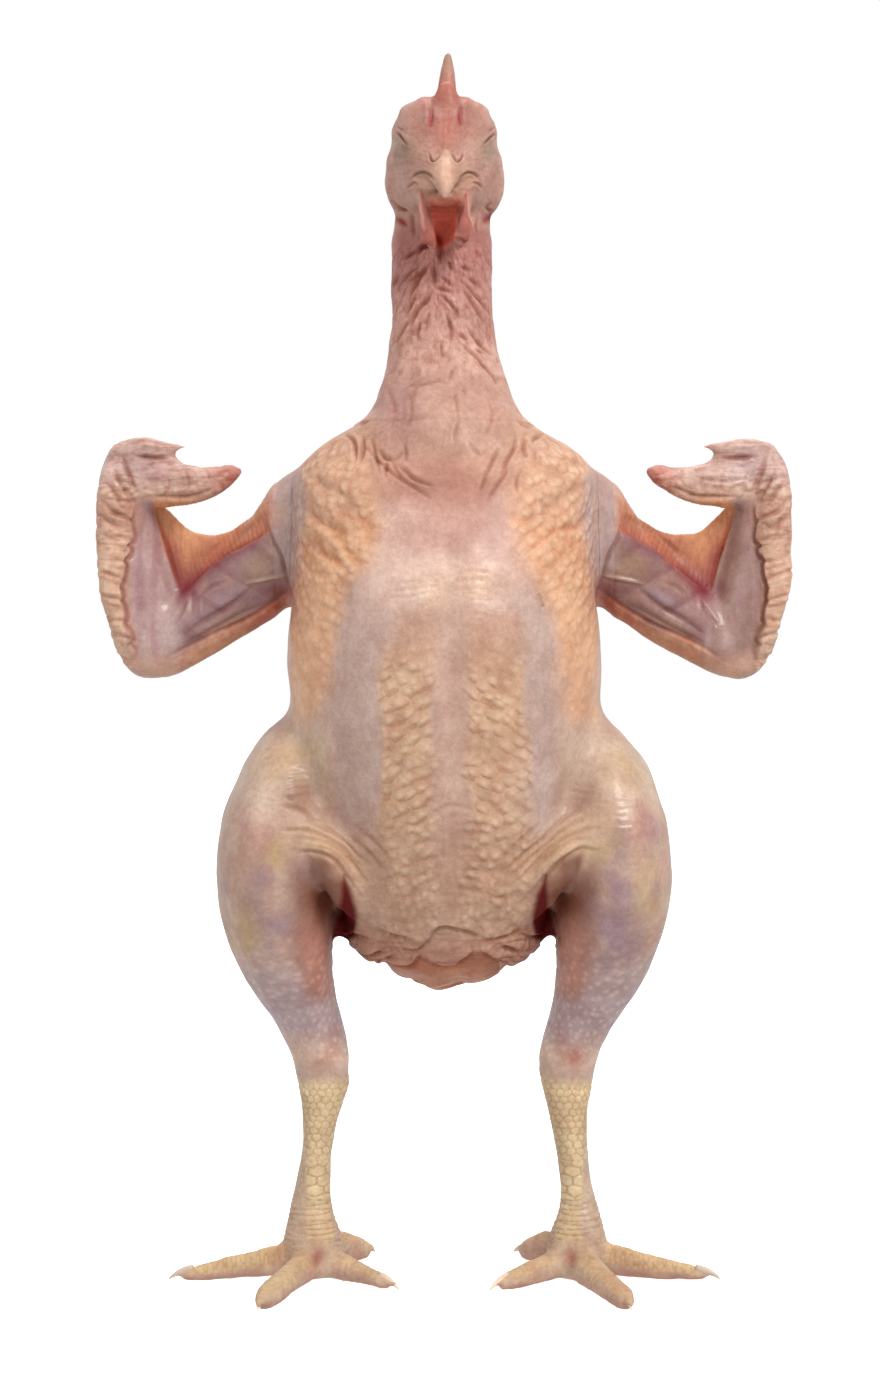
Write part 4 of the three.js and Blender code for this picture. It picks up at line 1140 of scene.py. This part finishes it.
def leg_skin(s):
    leg = s.leg
    above_scales = step(84, 96, s.z + 0.8 * s.waver)
    low = 1 - step(118, 152, s.z + s.waver)
    s.lift += leg * (0.8 * lumps(s.at, 18, 81) + 0.3 * lumps(s.at, 7, 82))
    s.paint(THIGH_TAN, leg)
    s.paint(THIGH_PALE, leg * step(196, 214, s.z + s.waver) * 0.7)
    patchy = 0.7 + 0.7 * lumps(s.at, 8, 83)
    s.flow += (s.at * [0.4, 0.4, 1.0] - s.flow) * (leg > 0.5)[:, None]
    back = leg * step(0, 0.5, s.normal[:, 1])
    s.paint(THIGH_YELLOW, 0.6 * back * step(0.05, 0.5, lumps(s.at, 22, 84)))
    s.paint(THIGH_PURPLE, 0.6 * back * step(0.05, 0.5, lumps(s.at, 20, 85)) * (1 - step(190, 205, s.z)))
    marbled = between(140, 192, 14, s.z) * s.facing * leg * step(58, 68, s.out)
    s.paint(THIGH_PURPLE, 0.6 * marbled * step(0.0, 0.5, lumps(s.at, 8, 91)))
    s.paint(THIGH_PINK, 0.5 * marbled * step(0.1, 0.6, lumps(s.at, 6, 92)))
    s.paint(DRUM_MAUVE, leg * low * 0.9)
    for tone, across, up, wide, high, lean, amount in THIGH_PATCHES:
        s.paint(tone, leg * amount * np.clip(1.5 * patchy * s.spot(across, up, wide, high, lean), 0, 1))
    # painted shade on the sides of the thighs that face the body, and beside the hollow
    inner = step(0.15, 0.8, -np.sign(s.x) * s.normal[:, 0]) * between(126, 176, 12, s.z)
    inner = leg * np.maximum(inner, 0.9 * (s.spot(-48, 156, 5.5, 14) + s.spot(48, 158, 5.5, 13)))
    s.paint(INNER_THIGH_SHADE, inner * 0.85)
    s.paint(INNER_DRUM, inner * (1 - step(146, 162, s.z)) * 0.9)
    s.paint(HOCK_PINK, leg * (1 - step(92, 106, s.z + s.waver)) * 0.9)
    s.paint(HOCK_GREY, leg * hump(84, 4, s.z + 0.5 * s.waver) * 0.6)
    for across, up, amount in HOCK_BRUISES:
        s.paint(HOCK_RED, leg * np.clip(1.2 * patchy * s.spot(across, up, 5, 4), 0, 1) * amount)
        s.paint(HOCK_RED, leg * s.spot(across * 0.9, up + 7, 3, 7) * 0.3)

    turn = np.arctan2(s.x - np.sign(s.x) * 60, 6 - s.y)
    dots = leg * (1 - step(126, 160, s.z + s.waver)) * above_scales * (1 - step(2.6, 3.0, np.abs(turn)))
    girth = np.interp(s.z, (88, 150), (12, 26))
    s.rows((s.leg > 0) & (s.z < 175), girth * turn / 4.3, s.z / 4.1)
    s.feather_roots(dots * 0.25, 0.0)
    s.mark("dot", dots * np.clip(0.9 + 0.5 * lumps(s.at, 12, 88), 0, 1))
    ripples = np.sin(s.up * 2.0 + 1.6 * s.waver) * np.clip(0.4 + 1.2 * lumps(s.at, 5, 89), 0, 1)
    knee = s.spot(-77, 195, 5, 12) + s.spot(77, 194, 5, 12) + 0.8 * s.spot(-63, 206, 8, 9)
    knee += 0.7 * s.spot(60, 200, 7, 8)
    s.lift += 0.35 * ripples * knee
    # painted highlights on the fronts of the knees
    s.paint(THIGH_PALE, 0.8 * (s.spot(-77, 198, 5, 9) + s.spot(77, 198, 5, 9)))
    s.paint(FLANK_SHADE, 0.85 * s.spot(-61, 200, 7, 12) + 0.4 * s.spot(61, 199, 7, 12))
    s.paint(FLANK_TAN, 0.85 * (s.spot(-48, 179, 18, 9, -0.5) + s.spot(48, 180, 18, 9, 0.5)))
    for points, height in FLANK_FLAPS:
        s.flap(points, height, 3.0, 0.8 * height + 0.2, shade_and_stain=0.5)
    shows = np.maximum(s.y < HOLLOW_DEPTH, s.facing)
    for turned in (list, mirrored):
        # painted shade on the inner thigh beside the hollow
        inner = s.inside(turned(INNER_THIGH_OUTLINE), 2.5, anywhere=True) * shows
        s.paint(INNER_THIGH_SHADE, inner * (0.75 + 0.35 * lumps(s.at, 5, 93)))
        s.paint(INNER_DRUM, inner * (1 - step(146, 160, s.z)) * (s.out > 45))
        hollow = s.inside(turned(HOLLOW_OUTLINE), 1.5, anywhere=True) * shows
        # blood with painted shade deep in the hollow
        s.paint(HOLLOW_BLOOD_AND_SHADE, hollow)
        # painted light, redder, on the hollow's sides that turn away, against the shade there
        s.shade_and_stain((3.0, 2.0, 2.0), hollow * (1 - s.facing) ** 2)
        s.mark("deep", hollow)
        s.lift -= 1.2 * hollow
    flank = s.spot(-61, 198, 8, 16) + s.spot(61, 198, 8, 16)
    s.mark("wet", leg * np.clip(0.4 + 0.6 * knee - 0.7 * flank, 0, 1))
    s.mark("pore", leg * 0.6)


# ---------------------------------------------------------------------------------------------
# Shanks and feet. Hard yellow scales: rows of six-sided ones down the shank, broad plates across
# the front of the ankle and along the outer toe, and fine grains at the sides.
# ---------------------------------------------------------------------------------------------
FOOT_MIDDLE = (55.0, 2.0)
TOES = {"outer": (57, 78), "middle": (61, 18), "inner": (42, -50), "hind": (37, -144)}
SHANK_YELLOW = colour(218, 192, 154)
SCUTE_YELLOW = colour(218, 188, 142)
SHANK_GREY = colour(196, 170, 150)
SCALE_LINE = np.array([0.70, 0.62, 0.52])
TOE_TAN = colour(210, 182, 156)
TOE_PINK = colour(206, 162, 144)
TOE_ROOT_RED = colour(170, 104, 88)
TOE_PITS = ((53.0, 7.0, 2.8, 4.2), (72.0, 8.0, 4.2, 3.6))
CELL_UNEVENNESS = 0.2  # how far a scale may lie from its place in the row, as a share of its size


def pebbles(u, v, pitch, seed):
    """Staggered rows of uneven cells: the distance to a cell's middle, the distance to its edge
    and a random number for each cell."""
    row_height = pitch * 0.87
    row = np.floor(v / row_height).astype(np.int64)
    nearest = np.full(len(u), 1e9)
    second = nearest.copy()
    chance = np.zeros(len(u))
    for up in (-1, 0, 1):
        this_row = row + up
        shift = 0.5 * (this_row % 2)
        column = np.floor(u / pitch - shift).astype(np.int64)
        for along in (-1, 0, 1):
            cell = np.stack([column + along, this_row], axis=1)
            cu = (cell[:, 0] + shift + 0.5 + CELL_UNEVENNESS * dice(cell, seed)) * pitch
            cv = (cell[:, 1] + 0.5 + CELL_UNEVENNESS * dice(cell, seed + 1)) * row_height
            away = np.hypot(u - cu, v - cv)
            closer = away < nearest
            second = np.where(closer, nearest, np.minimum(second, away))
            chance = np.where(closer, dice(cell, seed + 2), chance)
            nearest = np.where(closer, away, nearest)
    return nearest, (second - nearest) / 2, chance


def plates(s, amount, u, v, pitch, height, seed):
    """Flat scales that butt together along dark lines."""
    which = np.flatnonzero(amount > 0.01)
    amount = amount[which]
    middle, edge, chance = pebbles(u[which], v[which], pitch, seed)
    flat = step(0, 0.13 * pitch, edge)
    s.lift[which] += height * amount * (flat - 0.7 + 0.25 * (1 - middle / pitch))
    line = 1 - step(0.0, 0.11 * pitch, edge)
    s.tone[which] *= 1 + (SCALE_LINE - 1) * (line * amount)[:, None]
    s.tone[which] *= 1 + 0.07 * (chance * amount)[:, None]


def toe_ways(s):
    """The number of each point's nearest toe, and how far along that toe the point is."""
    best = np.full(len(s.at), 1e9)
    along = np.zeros(len(s.at))
    toe = np.zeros(len(s.at))
    for number, (length, heading) in enumerate(TOES.values()):
        turn = math.radians(heading)
        ahead = np.array([math.sin(turn), -math.cos(turn)])
        place = np.stack([s.out - FOOT_MIDDLE[0], s.y - FOOT_MIDDLE[1]], axis=1)
        run = place @ ahead
        side = place @ np.array([ahead[1], -ahead[0]])
        off = np.where(run > 0, np.abs(side), np.hypot(run, side))
        closer = off < best
        best = np.where(closer, off, best)
        along = np.where(closer, run, along)
        toe = np.where(closer, number, toe)
    return toe, along


def foot_skin(s):
    shank = 1 - step(78, 86, s.z + 0.5 * s.waver)
    low = (1 - step(16, 30, s.z)) * shank
    which_toe, along = toe_ways(s)
    toe = step(10, 18, along) * (1 - step(20, 26, s.z)) * shank
    turn = np.arctan2(s.out - 54, 12 - s.y)
    narrow = np.interp(s.z, (18, 34, 60), (0.22, 0.28, 0.60))
    side = step(0, 0.14, np.abs(turn + 0.1) - narrow)
    s.paint(SHANK_YELLOW, shank)
    s.paint(SHANK_GREY, shank * side * (1 - step(44, 66, s.z)) * (1 - toe) * 0.8)
    s.paint(TOE_TAN, low)
    s.paint(TOE_PINK, toe * 0.7 * step(-0.2, 0.6, lumps(s.at, 7, 101)))
    s.paint(SCUTE_YELLOW, toe * 0.6 * step(0.2, 0.8, s.normal[:, 2] + 0.3 * lumps(s.at, 5, 103)))
    s.paint(TOE_PINK, toe * 0.8 * step(-0.2, 0.5, 0.3 * lumps(s.at, 5, 104) - s.normal[:, 2]))
    ankle = low * (1 - toe) * (1 - side)
    s.paint(SCUTE_YELLOW, ankle * step(14, 19, s.z) * 0.7)
    s.paint(SHANK_GREY, low * (1 - toe) * side * 0.6)
    for out, up, wide, high in TOE_PITS:
        pit = low * (s.spot(out, up, wide, high) + s.spot(-out, up, wide, high))
        s.paint(TOE_ROOT_RED, pit * 0.85)
        s.lift -= 0.9 * pit

    upper = shank * (1 - step(44, 54, s.z))
    plates(s, shank * step(44, 54, s.z), 7.5 * turn, s.z, 3.1, 0.3, 102)
    plates(s, upper * step(32, 35, s.z) * (1 - side), 8.0 * turn, s.z, 4.5, 0.4, 104)
    plates(s, upper * step(30, 36, s.z) * side * 0.4, 9 * turn, s.z, 2.4, 0.25, 105)
    banded = shank * between(17, 33, 2, s.z) * (1 - toe) * (1 - side)
    plates(s, banded, 1.5 * turn + 0.7, s.z, 2.2, 0.4, 106)
    on_top = step(0.1, 0.5, s.normal[:, 2] - 0.4 * s.normal[:, 1])
    scutes = toe * (which_toe == 0) * on_top * (1 - step(52, 56, along))
    s.paint(SCUTE_YELLOW, scutes * 0.6)
    plates(s, scutes * 0.6, 0.2 * s.z, along, 2.3, 0.3, 108)
    rings = np.sin(1.9 * along + 0.9 * s.waver + 1.2 * lumps(s.at, 4, 109))
    s.lift += 0.07 * rings * toe * (which_toe > 0)
    s.lift += 0.18 * toe * lumps(s.at, 3, 110)
    creases = np.sin(2.8 * s.z + 1.2 * s.waver)
    wrinkled = shank * (1 - step(28, 36, s.z)) * (1 - toe) * side
    s.lift += 0.14 * creases * wrinkled
    s.flow += (s.at * [0.4, 0.4, 1.8] - s.flow) * shank[:, None]
    s.mark("deep", 0.8 * low)
    s.mark("wrinkle", 0.6 * wrinkled + 0.35 * toe * (which_toe > 0))
    hind = step(10, 22, along) * (which_toe == 3) * shank
    s.shift[:, 2] += hind * step(3, 8, s.z) * 3.2 * hump(18, 14, along)
    s.lift += 0.8 * hind * step(3, 8, s.z)
    s.mark("pore", shank * 0.4)


for surface in surfaces:
    for region in (torso_skin, neck_skin, vent_skin, head_skin, wing_skin, leg_skin, foot_skin):
        region(surface)


# ---------------------------------------------------------------------------------------------
# The skin's finish. Moist, slightly see-through skin: light scatters red in it, pores and fine
# wrinkles break up the gloss, and small vessels show under it.
# ---------------------------------------------------------------------------------------------
class Wire:
    """A node's output, so that shader sums can be written as plain expressions."""

    def __init__(self, nodes, socket):
        self.nodes = nodes
        self.socket = socket

    def sum_with(self, operation, other, swapped=False):
        pair = (other, self) if swapped else (self, other)
        return self.nodes.make("ShaderNodeMath", {"operation": operation}, *pair)

    def __add__(self, other):
        return self.sum_with("ADD", other)

    def __sub__(self, other):
        return self.sum_with("SUBTRACT", other)

    def __rsub__(self, other):
        return self.sum_with("SUBTRACT", other, swapped=True)

    def __mul__(self, other):
        return self.sum_with("MULTIPLY", other)

    def __pow__(self, other):
        return self.sum_with("POWER", other)

    __radd__ = __add__
    __rmul__ = __mul__


class Nodes:
    """The node tree of one material."""

    def __init__(self, name):
        self.material = bpy.data.materials.new(name)
        self.material.use_nodes = True
        self.tree = self.material.node_tree
        self.tree.nodes.clear()

    def make(self, kind, settings, *inputs, output=0, **named):
        """Adds a node: its settings, then values or links for its sockets by place or by name."""
        node = self.tree.nodes.new(kind)
        for setting, value in settings.items():
            setattr(node, setting, value)
        wanted = dict(enumerate(inputs))
        wanted.update({name.replace("_", " "): value for name, value in named.items()})
        for place, value in wanted.items():
            socket = node.inputs[place]
            if isinstance(value, Wire):
                self.tree.links.new(value.socket, socket)
            elif value is not None:
                socket.default_value = value
        return Wire(self, node.outputs[output])

    def attribute(self, name, output="Fac"):
        return self.make("ShaderNodeAttribute", {"attribute_name": name}, output=output)

    def noise(self, place, scale, detail=2.0, roughness=0.5):
        return self.make(
            "ShaderNodeTexNoise", {}, Vector=place, Scale=scale, Detail=detail, Roughness=roughness)

    def ramp(self, value, low, high, first, last):
        """Turns values from `low` to `high` into values from `first` to `last`."""
        settings = {"interpolation_type": "SMOOTHSTEP"}
        return self.make("ShaderNodeMapRange", settings, value, low, high, first, last)

    def blend(self, amount, low, high, kind="MIX"):
        """Mixes two colours."""
        settings = {"data_type": "RGBA", "blend_type": kind}
        tones = [tone if isinstance(tone, Wire) else (*tone, 1.0) for tone in (low, high)]
        idle = [None] * 5  # the node's sockets for numbers and vectors
        return self.make("ShaderNodeMix", settings, amount, *idle, *tones, output=2)

    def finish(self, base, roughness, normal, coat=None, **fixed):
        """The finished material: what varies over the surface, and what doesn't."""
        shader = self.make(
            "ShaderNodeBsdfPrincipled", {}, Base_Color=base, Roughness=roughness, Normal=normal,
            Coat_Weight=coat, **fixed)
        surface = self.tree.nodes.new("ShaderNodeOutputMaterial")
        self.tree.links.new(shader.socket, surface.inputs["Surface"])
        return self.material


MOTTLE_DARK = (0.69, 0.64, 0.60)
MOTTLE_LIGHT = (0.96, 1.0, 0.98)
BLUSH = (0.89, 0.78, 0.76)
SPECKLE_DARK = (0.72, 0.67, 0.64)
SPECKLE_LIGHT = (0.99, 1, 1)
GRAIN_DARK = (0.78, 0.72, 0.70)
PLAIN = (1, 1, 1)
ROOT_FAT = (0.93, 0.73, 0.55)  # the fat that shows through the tops of the feather roots
ROOT_SHADE = (0.72, 0.52, 0.38)
EMPTY_ROOT = (1.30, 1.28, 1.26)  # how much the pale dots on the legs are lighter
VESSEL = (0.50, 0.34, 0.46)
WRINKLE_SHADE = (0.64, 0.44, 0.40)
RED_SCATTER = (1.0, 0.32, 0.18)
SCATTER_DEPTH = 0.003
RELIEF = 0.0004  # how high the bump's relief is, in metres


def skin_material():
    n = Nodes("raw_skin")
    place = n.make("ShaderNodeTexCoord", {}, output="Object")
    tone = n.attribute("tone", "Color")
    flow = n.attribute("flow", "Vector")
    cells = n.attribute("cells", "Vector")
    wet, wrinkle, pore, vein, roots, groove, dot, deep = (n.attribute(mark) for mark in MARKS)
    mottle = n.ramp(n.noise(place, 95, 3, 0.6), 0.36, 0.64, 0.0, 1.0)
    speckle = n.noise(place, 430, 3, 0.6)
    grain = n.ramp(n.noise(place, 900, 2, 0.5), 0.36, 0.64, 0.0, 1.0)
    blush = n.noise(place, 38, 2, 0.5)
    strain = n.noise(flow, 420, 3, 0.55)
    strain_fine = n.noise(flow, 900, 2, 0.5)
    pits = n.make("ShaderNodeTexVoronoi", {"feature": "SMOOTH_F1"}, Vector=place, Scale=720, Smoothness=0.35)
    pit_shape = n.ramp(pits, 0.15, 0.65, 0.0, 1.0)
    threads = n.make("ShaderNodeMath", {"operation": "ABSOLUTE"}, n.noise(place, 120, 2, 0.6) - 0.5)
    thread = n.ramp(threads, 0.0, 0.035, 1.0, 0.0)
    scatter = {"voronoi_dimensions": "2D", "feature": "SMOOTH_F1"}
    apart = n.make("ShaderNodeTexVoronoi", scatter, Vector=cells, Scale=1, Smoothness=0.3, Randomness=0.8)
    centre = Wire(n, apart.socket.node.outputs["Position"])
    offset = n.make("ShaderNodeVectorMath", {"operation": "SUBTRACT"}, cells, centre)
    below = n.make("ShaderNodeSeparateXYZ", {}, offset, output=1)
    dome = n.ramp(apart, 0.0, 0.6, 1, 0)
    crown = n.ramp(apart, 0.0, 0.5, 1, 0)
    spot = n.ramp(apart, 0.04, 0.44, 1, 0)
    crescent = n.ramp(below, -0.12, -0.42, 0, 1)

    speckled = n.blend(n.ramp(speckle, 0.38, 0.62, 0, 1), SPECKLE_DARK, SPECKLE_LIGHT)
    base = n.blend(0.5, tone, n.blend(mottle, MOTTLE_DARK, MOTTLE_LIGHT), "MULTIPLY")
    base = n.blend(n.ramp(blush, 0.42, 0.68, 0.0, 0.5), base, BLUSH, "MULTIPLY")
    base = n.blend(0.35, base, speckled, "MULTIPLY")
    base = n.blend(0.25, base, n.blend(grain, GRAIN_DARK, PLAIN), "MULTIPLY")
    base = n.blend(crown * roots * 0.24, base, ROOT_FAT)
    base = n.blend(spot * dot * 0.8, base, EMPTY_ROOT, "MULTIPLY")
    base = n.blend(crescent * groove * 0.5, base, ROOT_SHADE, "MULTIPLY")
    base = n.blend(vein * thread * 0.6, base, VESSEL, "MULTIPLY")
    base = n.blend(wrinkle * n.ramp(strain, 0.52, 0.38, 0.0, 0.6), base, WRINKLE_SHADE, "MULTIPLY")
    height = pit_shape * pore * 0.17 + speckle * 0.25 + strain * wrinkle * 0.7 + strain_fine * wrinkle * 0.3
    height = height + dome * roots * 1.15 - crescent * groove * 0.4
    bump = n.make("ShaderNodeBump", {}, Strength=1.0, Distance=RELIEF, Height=height)
    gloss = 0.5 - wet * 0.14 + (speckle - 0.5) * 0.25 + deep * 0.3
    return n.finish(
        base, gloss, bump, (wet * 0.3 + 0.08) * (1 - deep),
        Subsurface_Weight=0.15, Subsurface_Radius=RED_SCATTER, Subsurface_Scale=SCATTER_DEPTH,
        Specular_IOR_Level=0.25, Coat_Roughness=0.18)


TUCK = 0.15  # how deep the skin sinks past a seam, in millimetres
SEAM_GLOW = 0.09  # how much lighter the skin is along a seam, which takes the seam's shade away
TRIANGLES = {"skin": 196000, "neck": 110000, "head": 130000, "wing": 150000, "foot": 90000}


def tuck(s):
    """Sinks the skin past each seam, so that two stretches meet in a shallow, wandering fold, and
    lightens it there."""
    for point, inward, lowest in s.seams:
        wander = 0.35 * s.waver * np.sign(inward.sum())
        inside = (s.at - point) @ inward + wander
        s.lift -= TUCK * (1 - step(-3, 3, inside)) * (s.z > lowest)
        s.tone *= 1 + SEAM_GLOW * (hump(0, 2.6, inside) * (s.z > lowest))[:, None]


raw_skin = skin_material()
for surface in surfaces:
    tuck(surface)
    mesh = surface.mesh
    place = (surface.at + surface.shift + surface.normal * surface.lift[:, None]) / METRE
    place[:, 2] = np.maximum(place[:, 2], 0)
    mesh.vertices.foreach_set("co", place.ravel())
    tone = mesh.attributes.new("tone", "FLOAT_COLOR", "POINT")
    tone.data.foreach_set("color", np.c_[np.clip(surface.tone, 0, 1), np.ones(len(place))].ravel())
    for name, values in (("flow", surface.flow / METRE), ("cells", surface.cells)):
        attribute = mesh.attributes.new(name, "FLOAT_VECTOR", "POINT")
        attribute.data.foreach_set("vector", values.ravel())
    for name, amount in surface.marks.items():
        mark = mesh.attributes.new(name, "FLOAT", "POINT")
        mark.data.foreach_set("value", amount)
    mesh.update()
    wanted = TRIANGLES[surface.name.split("_")[-1]]
    share = min(1.0, wanted / (2 * len(mesh.polygons)))
    mesh = made_with(mesh, surface.name, "DECIMATE", decimate_type="COLLAPSE", ratio=share)
    mesh.polygons.foreach_set("use_smooth", np.ones(len(mesh.polygons), bool))
    mesh.materials.clear()
    mesh.materials.append(raw_skin)
    piece = bpy.data.objects.new(surface.name, mesh)
    bpy.context.scene.collection.objects.link(piece)
    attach(piece, "root")
    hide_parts("chicken")


# ---------------------------------------------------------------------------------------------
# Claws. A pointed sheath of pale horn on the end of each toe, rooted in the skin and curved down
# towards the ground. The outer toes' are greyer than the rest.
# ---------------------------------------------------------------------------------------------
CLAW_ROOT_BACK = 5.0  # how far the root is sunk back from the end of the toe
CLAW_ROOT_HEIGHT = 4.5
CLAW_REACH = 11.6
CLAW_GIRTH = 2.2
CLAW_RINGS = 9
CLAW_RISE = math.radians(6)
CLAW_DROOP = math.radians(46)
CLAW_FLATNESS = 0.82
CLAW_SIDES = 16
GREYNESS = {"outer": 0.8, "middle": 0.0, "inner": 0.15, "hind": 0.5}
HORN_ROOT = (0.86, 0.59, 0.42)
HORN_TIP = (0.96, 0.82, 0.64)
HORN_GREY = (0.40, 0.33, 0.27)
HORN_CLOUD = (0.6, 0.5, 0.42)
HORN_SCATTER = (1.0, 0.6, 0.4)
HORN_SCATTER_DEPTH = 0.002
HORN_RELIEF = 0.0002


def claw_root(side, length, heading):
    """The place and direction of a claw's root: its Z runs out along the toe, and its Y is up."""
    turn = math.radians(heading)
    back = length - CLAW_ROOT_BACK
    middle = Vector((FOOT_MIDDLE[0] + back * math.sin(turn), FOOT_MIDDLE[1] - back * math.cos(turn), 0))
    place = Vector((side * middle.x, middle.y, CLAW_ROOT_HEIGHT)) / METRE
    facing = Matrix.Rotation(side * turn, 4, "Z") @ Matrix.Rotation(math.pi / 2 - CLAW_RISE, 4, "X")
    return Matrix.Translation(place) @ facing


def grow_claw(bm, root, tip_layer, grey_layer, greyness):
    """Grows a sheath ring by ring, each one smaller and turned further down than the last."""
    start = root @ Matrix.Scale(CLAW_FLATNESS, 4, (1, 0, 0))
    circle = bmesh.ops.create_circle(
        bm, cap_ends=True, segments=CLAW_SIDES, radius=CLAW_GIRTH / METRE, matrix=start)
    ring = circle["verts"]
    edges = list(dict.fromkeys(edge for corner in ring for edge in corner.link_edges))
    for corner in ring:
        corner[grey_layer] = greyness
    here = root
    onward = Matrix.Translation((0, 0, CLAW_REACH / CLAW_RINGS / METRE))
    bend = Matrix.Rotation(CLAW_DROOP / CLAW_RINGS, 4, "X")
    for i in range(CLAW_RINGS):
        grown = bmesh.ops.extrude_edge_only(bm, edges=edges)["geom"]
        ring = [item for item in grown if isinstance(item, bmesh.types.BMVert)]
        edges = [item for item in grown if isinstance(item, bmesh.types.BMEdge)]
        edges = [edge for edge in edges if set(edge.verts) <= set(ring)]
        girth_here = (1 - i / CLAW_RINGS) ** 0.75
        girth_there = (1 - (i + 0.96) / CLAW_RINGS) ** 0.75
        there = here @ bend @ onward
        narrowed = there @ Matrix.Scale(girth_there / girth_here, 4) @ here.inverted()
        bmesh.ops.transform(bm, matrix=narrowed, verts=ring)
        for corner in ring:
            corner[tip_layer] = (i + 1) / CLAW_RINGS
            corner[grey_layer] = greyness
        here = there
    bmesh.ops.pointmerge(bm, verts=ring, merge_co=here.translation)


def claw_horn():
    n = Nodes("claw_horn")
    place = n.make("ShaderNodeTexCoord", {}, output="Object")
    tip = n.attribute("tip")
    grey = n.attribute("grey")
    cloud = n.noise(place, 500, 3, 0.6)
    base = n.blend(tip, HORN_ROOT, HORN_TIP)
    base = n.blend(grey * 0.7, base, HORN_GREY)
    base = n.blend(0.4, base, n.blend(cloud, HORN_CLOUD, PLAIN), "MULTIPLY")
    bump = n.make("ShaderNodeBump", {}, Strength=1.0, Distance=HORN_RELIEF, Height=cloud)
    return n.finish(
        base, 0.32 + cloud * 0.1, bump, Subsurface_Weight=0.2,
        Subsurface_Radius=HORN_SCATTER, Subsurface_Scale=HORN_SCATTER_DEPTH, Specular_IOR_Level=0.5)


claws_bm = bmesh.new()
tip_layer = claws_bm.verts.layers.float.new("tip")
grey_layer = claws_bm.verts.layers.float.new("grey")
for side in (-1, 1):
    for toe_name, (length, heading) in TOES.items():
        grow_claw(claws_bm, claw_root(side, length, heading), tip_layer, grey_layer, GREYNESS[toe_name])
bmesh.ops.recalc_face_normals(claws_bm, faces=claws_bm.faces)
for face in claws_bm.faces:
    face.smooth = True
claws_mesh = bpy.data.meshes.new("claws")
claws_bm.to_mesh(claws_mesh)
claws_bm.free()
claws_mesh.materials.append(claw_horn())
claws = bpy.data.objects.new("claws", claws_mesh)
bpy.context.scene.collection.objects.link(claws)
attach(claws, "root")
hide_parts("chicken")


# ---------------------------------------------------------------------------------------------
# Floor and light. A plain white floor that glows a little, and broad soft light from above and
# from both sides, in a white room.
# ---------------------------------------------------------------------------------------------
ROOM_LIGHT = (0.735, 0.735, 0.735, 1)
FLOOR_REACH = 4.0
FLOOR_WHITE = (0.9, 0.9, 0.9, 1)
FLOOR_GLOW = {"Emission_Color": (1, 1, 1, 1), "Emission_Strength": 0.85}


def soft_light(name, place, aim, size, power):
    data = bpy.data.lights.new(name, "AREA")
    data.shape = "DISK"
    data.size = size
    data.energy = power
    light = bpy.data.objects.new(name, data)
    light.location = place
    light.rotation_euler = (Vector(aim) - Vector(place)).to_track_quat("-Z", "Y").to_euler()
    bpy.context.scene.collection.objects.link(light)


soft_light("key", (0.9, -1.4, 1.6), (0, 0, 0.25), 0.9, 29)
soft_light("fill", (-1.2, -1.4, 0.7), (0, 0, 0.25), 1.2, 3)
soft_light("top", (0, 0.5, 1.9), (0, 0, 0.2), 1.4, 14)

world = bpy.data.worlds.new("white_room")
world.use_nodes = True
world_tree = world.node_tree
backdrop = world_tree.nodes.new("ShaderNodeMix")
backdrop.data_type = "RGBA"
backdrop.inputs[6].default_value = ROOM_LIGHT
backdrop.inputs[7].default_value = (1, 1, 1, 1)
light_path = world_tree.nodes.new("ShaderNodeLightPath")
world_tree.links.new(light_path.outputs["Is Camera Ray"], backdrop.inputs[0])
world_tree.links.new(backdrop.outputs[2], world_tree.nodes["Background"].inputs["Color"])
bpy.context.scene.world = world
bpy.context.scene.view_settings.view_transform = "Standard"

floor_bm = bmesh.new()
bmesh.ops.create_grid(floor_bm, x_segments=2, y_segments=2, size=FLOOR_REACH)
floor_mesh = bpy.data.meshes.new("floor")
floor_bm.to_mesh(floor_mesh)
floor_bm.free()
floor_nodes = Nodes("white_floor")
floor_mesh.materials.append(floor_nodes.finish(FLOOR_WHITE, 0.8, None, **FLOOR_GLOW))
floor = bpy.data.objects.new("floor", floor_mesh)
bpy.context.scene.collection.objects.link(floor)
floor.visible_diffuse = False
floor.visible_glossy = False
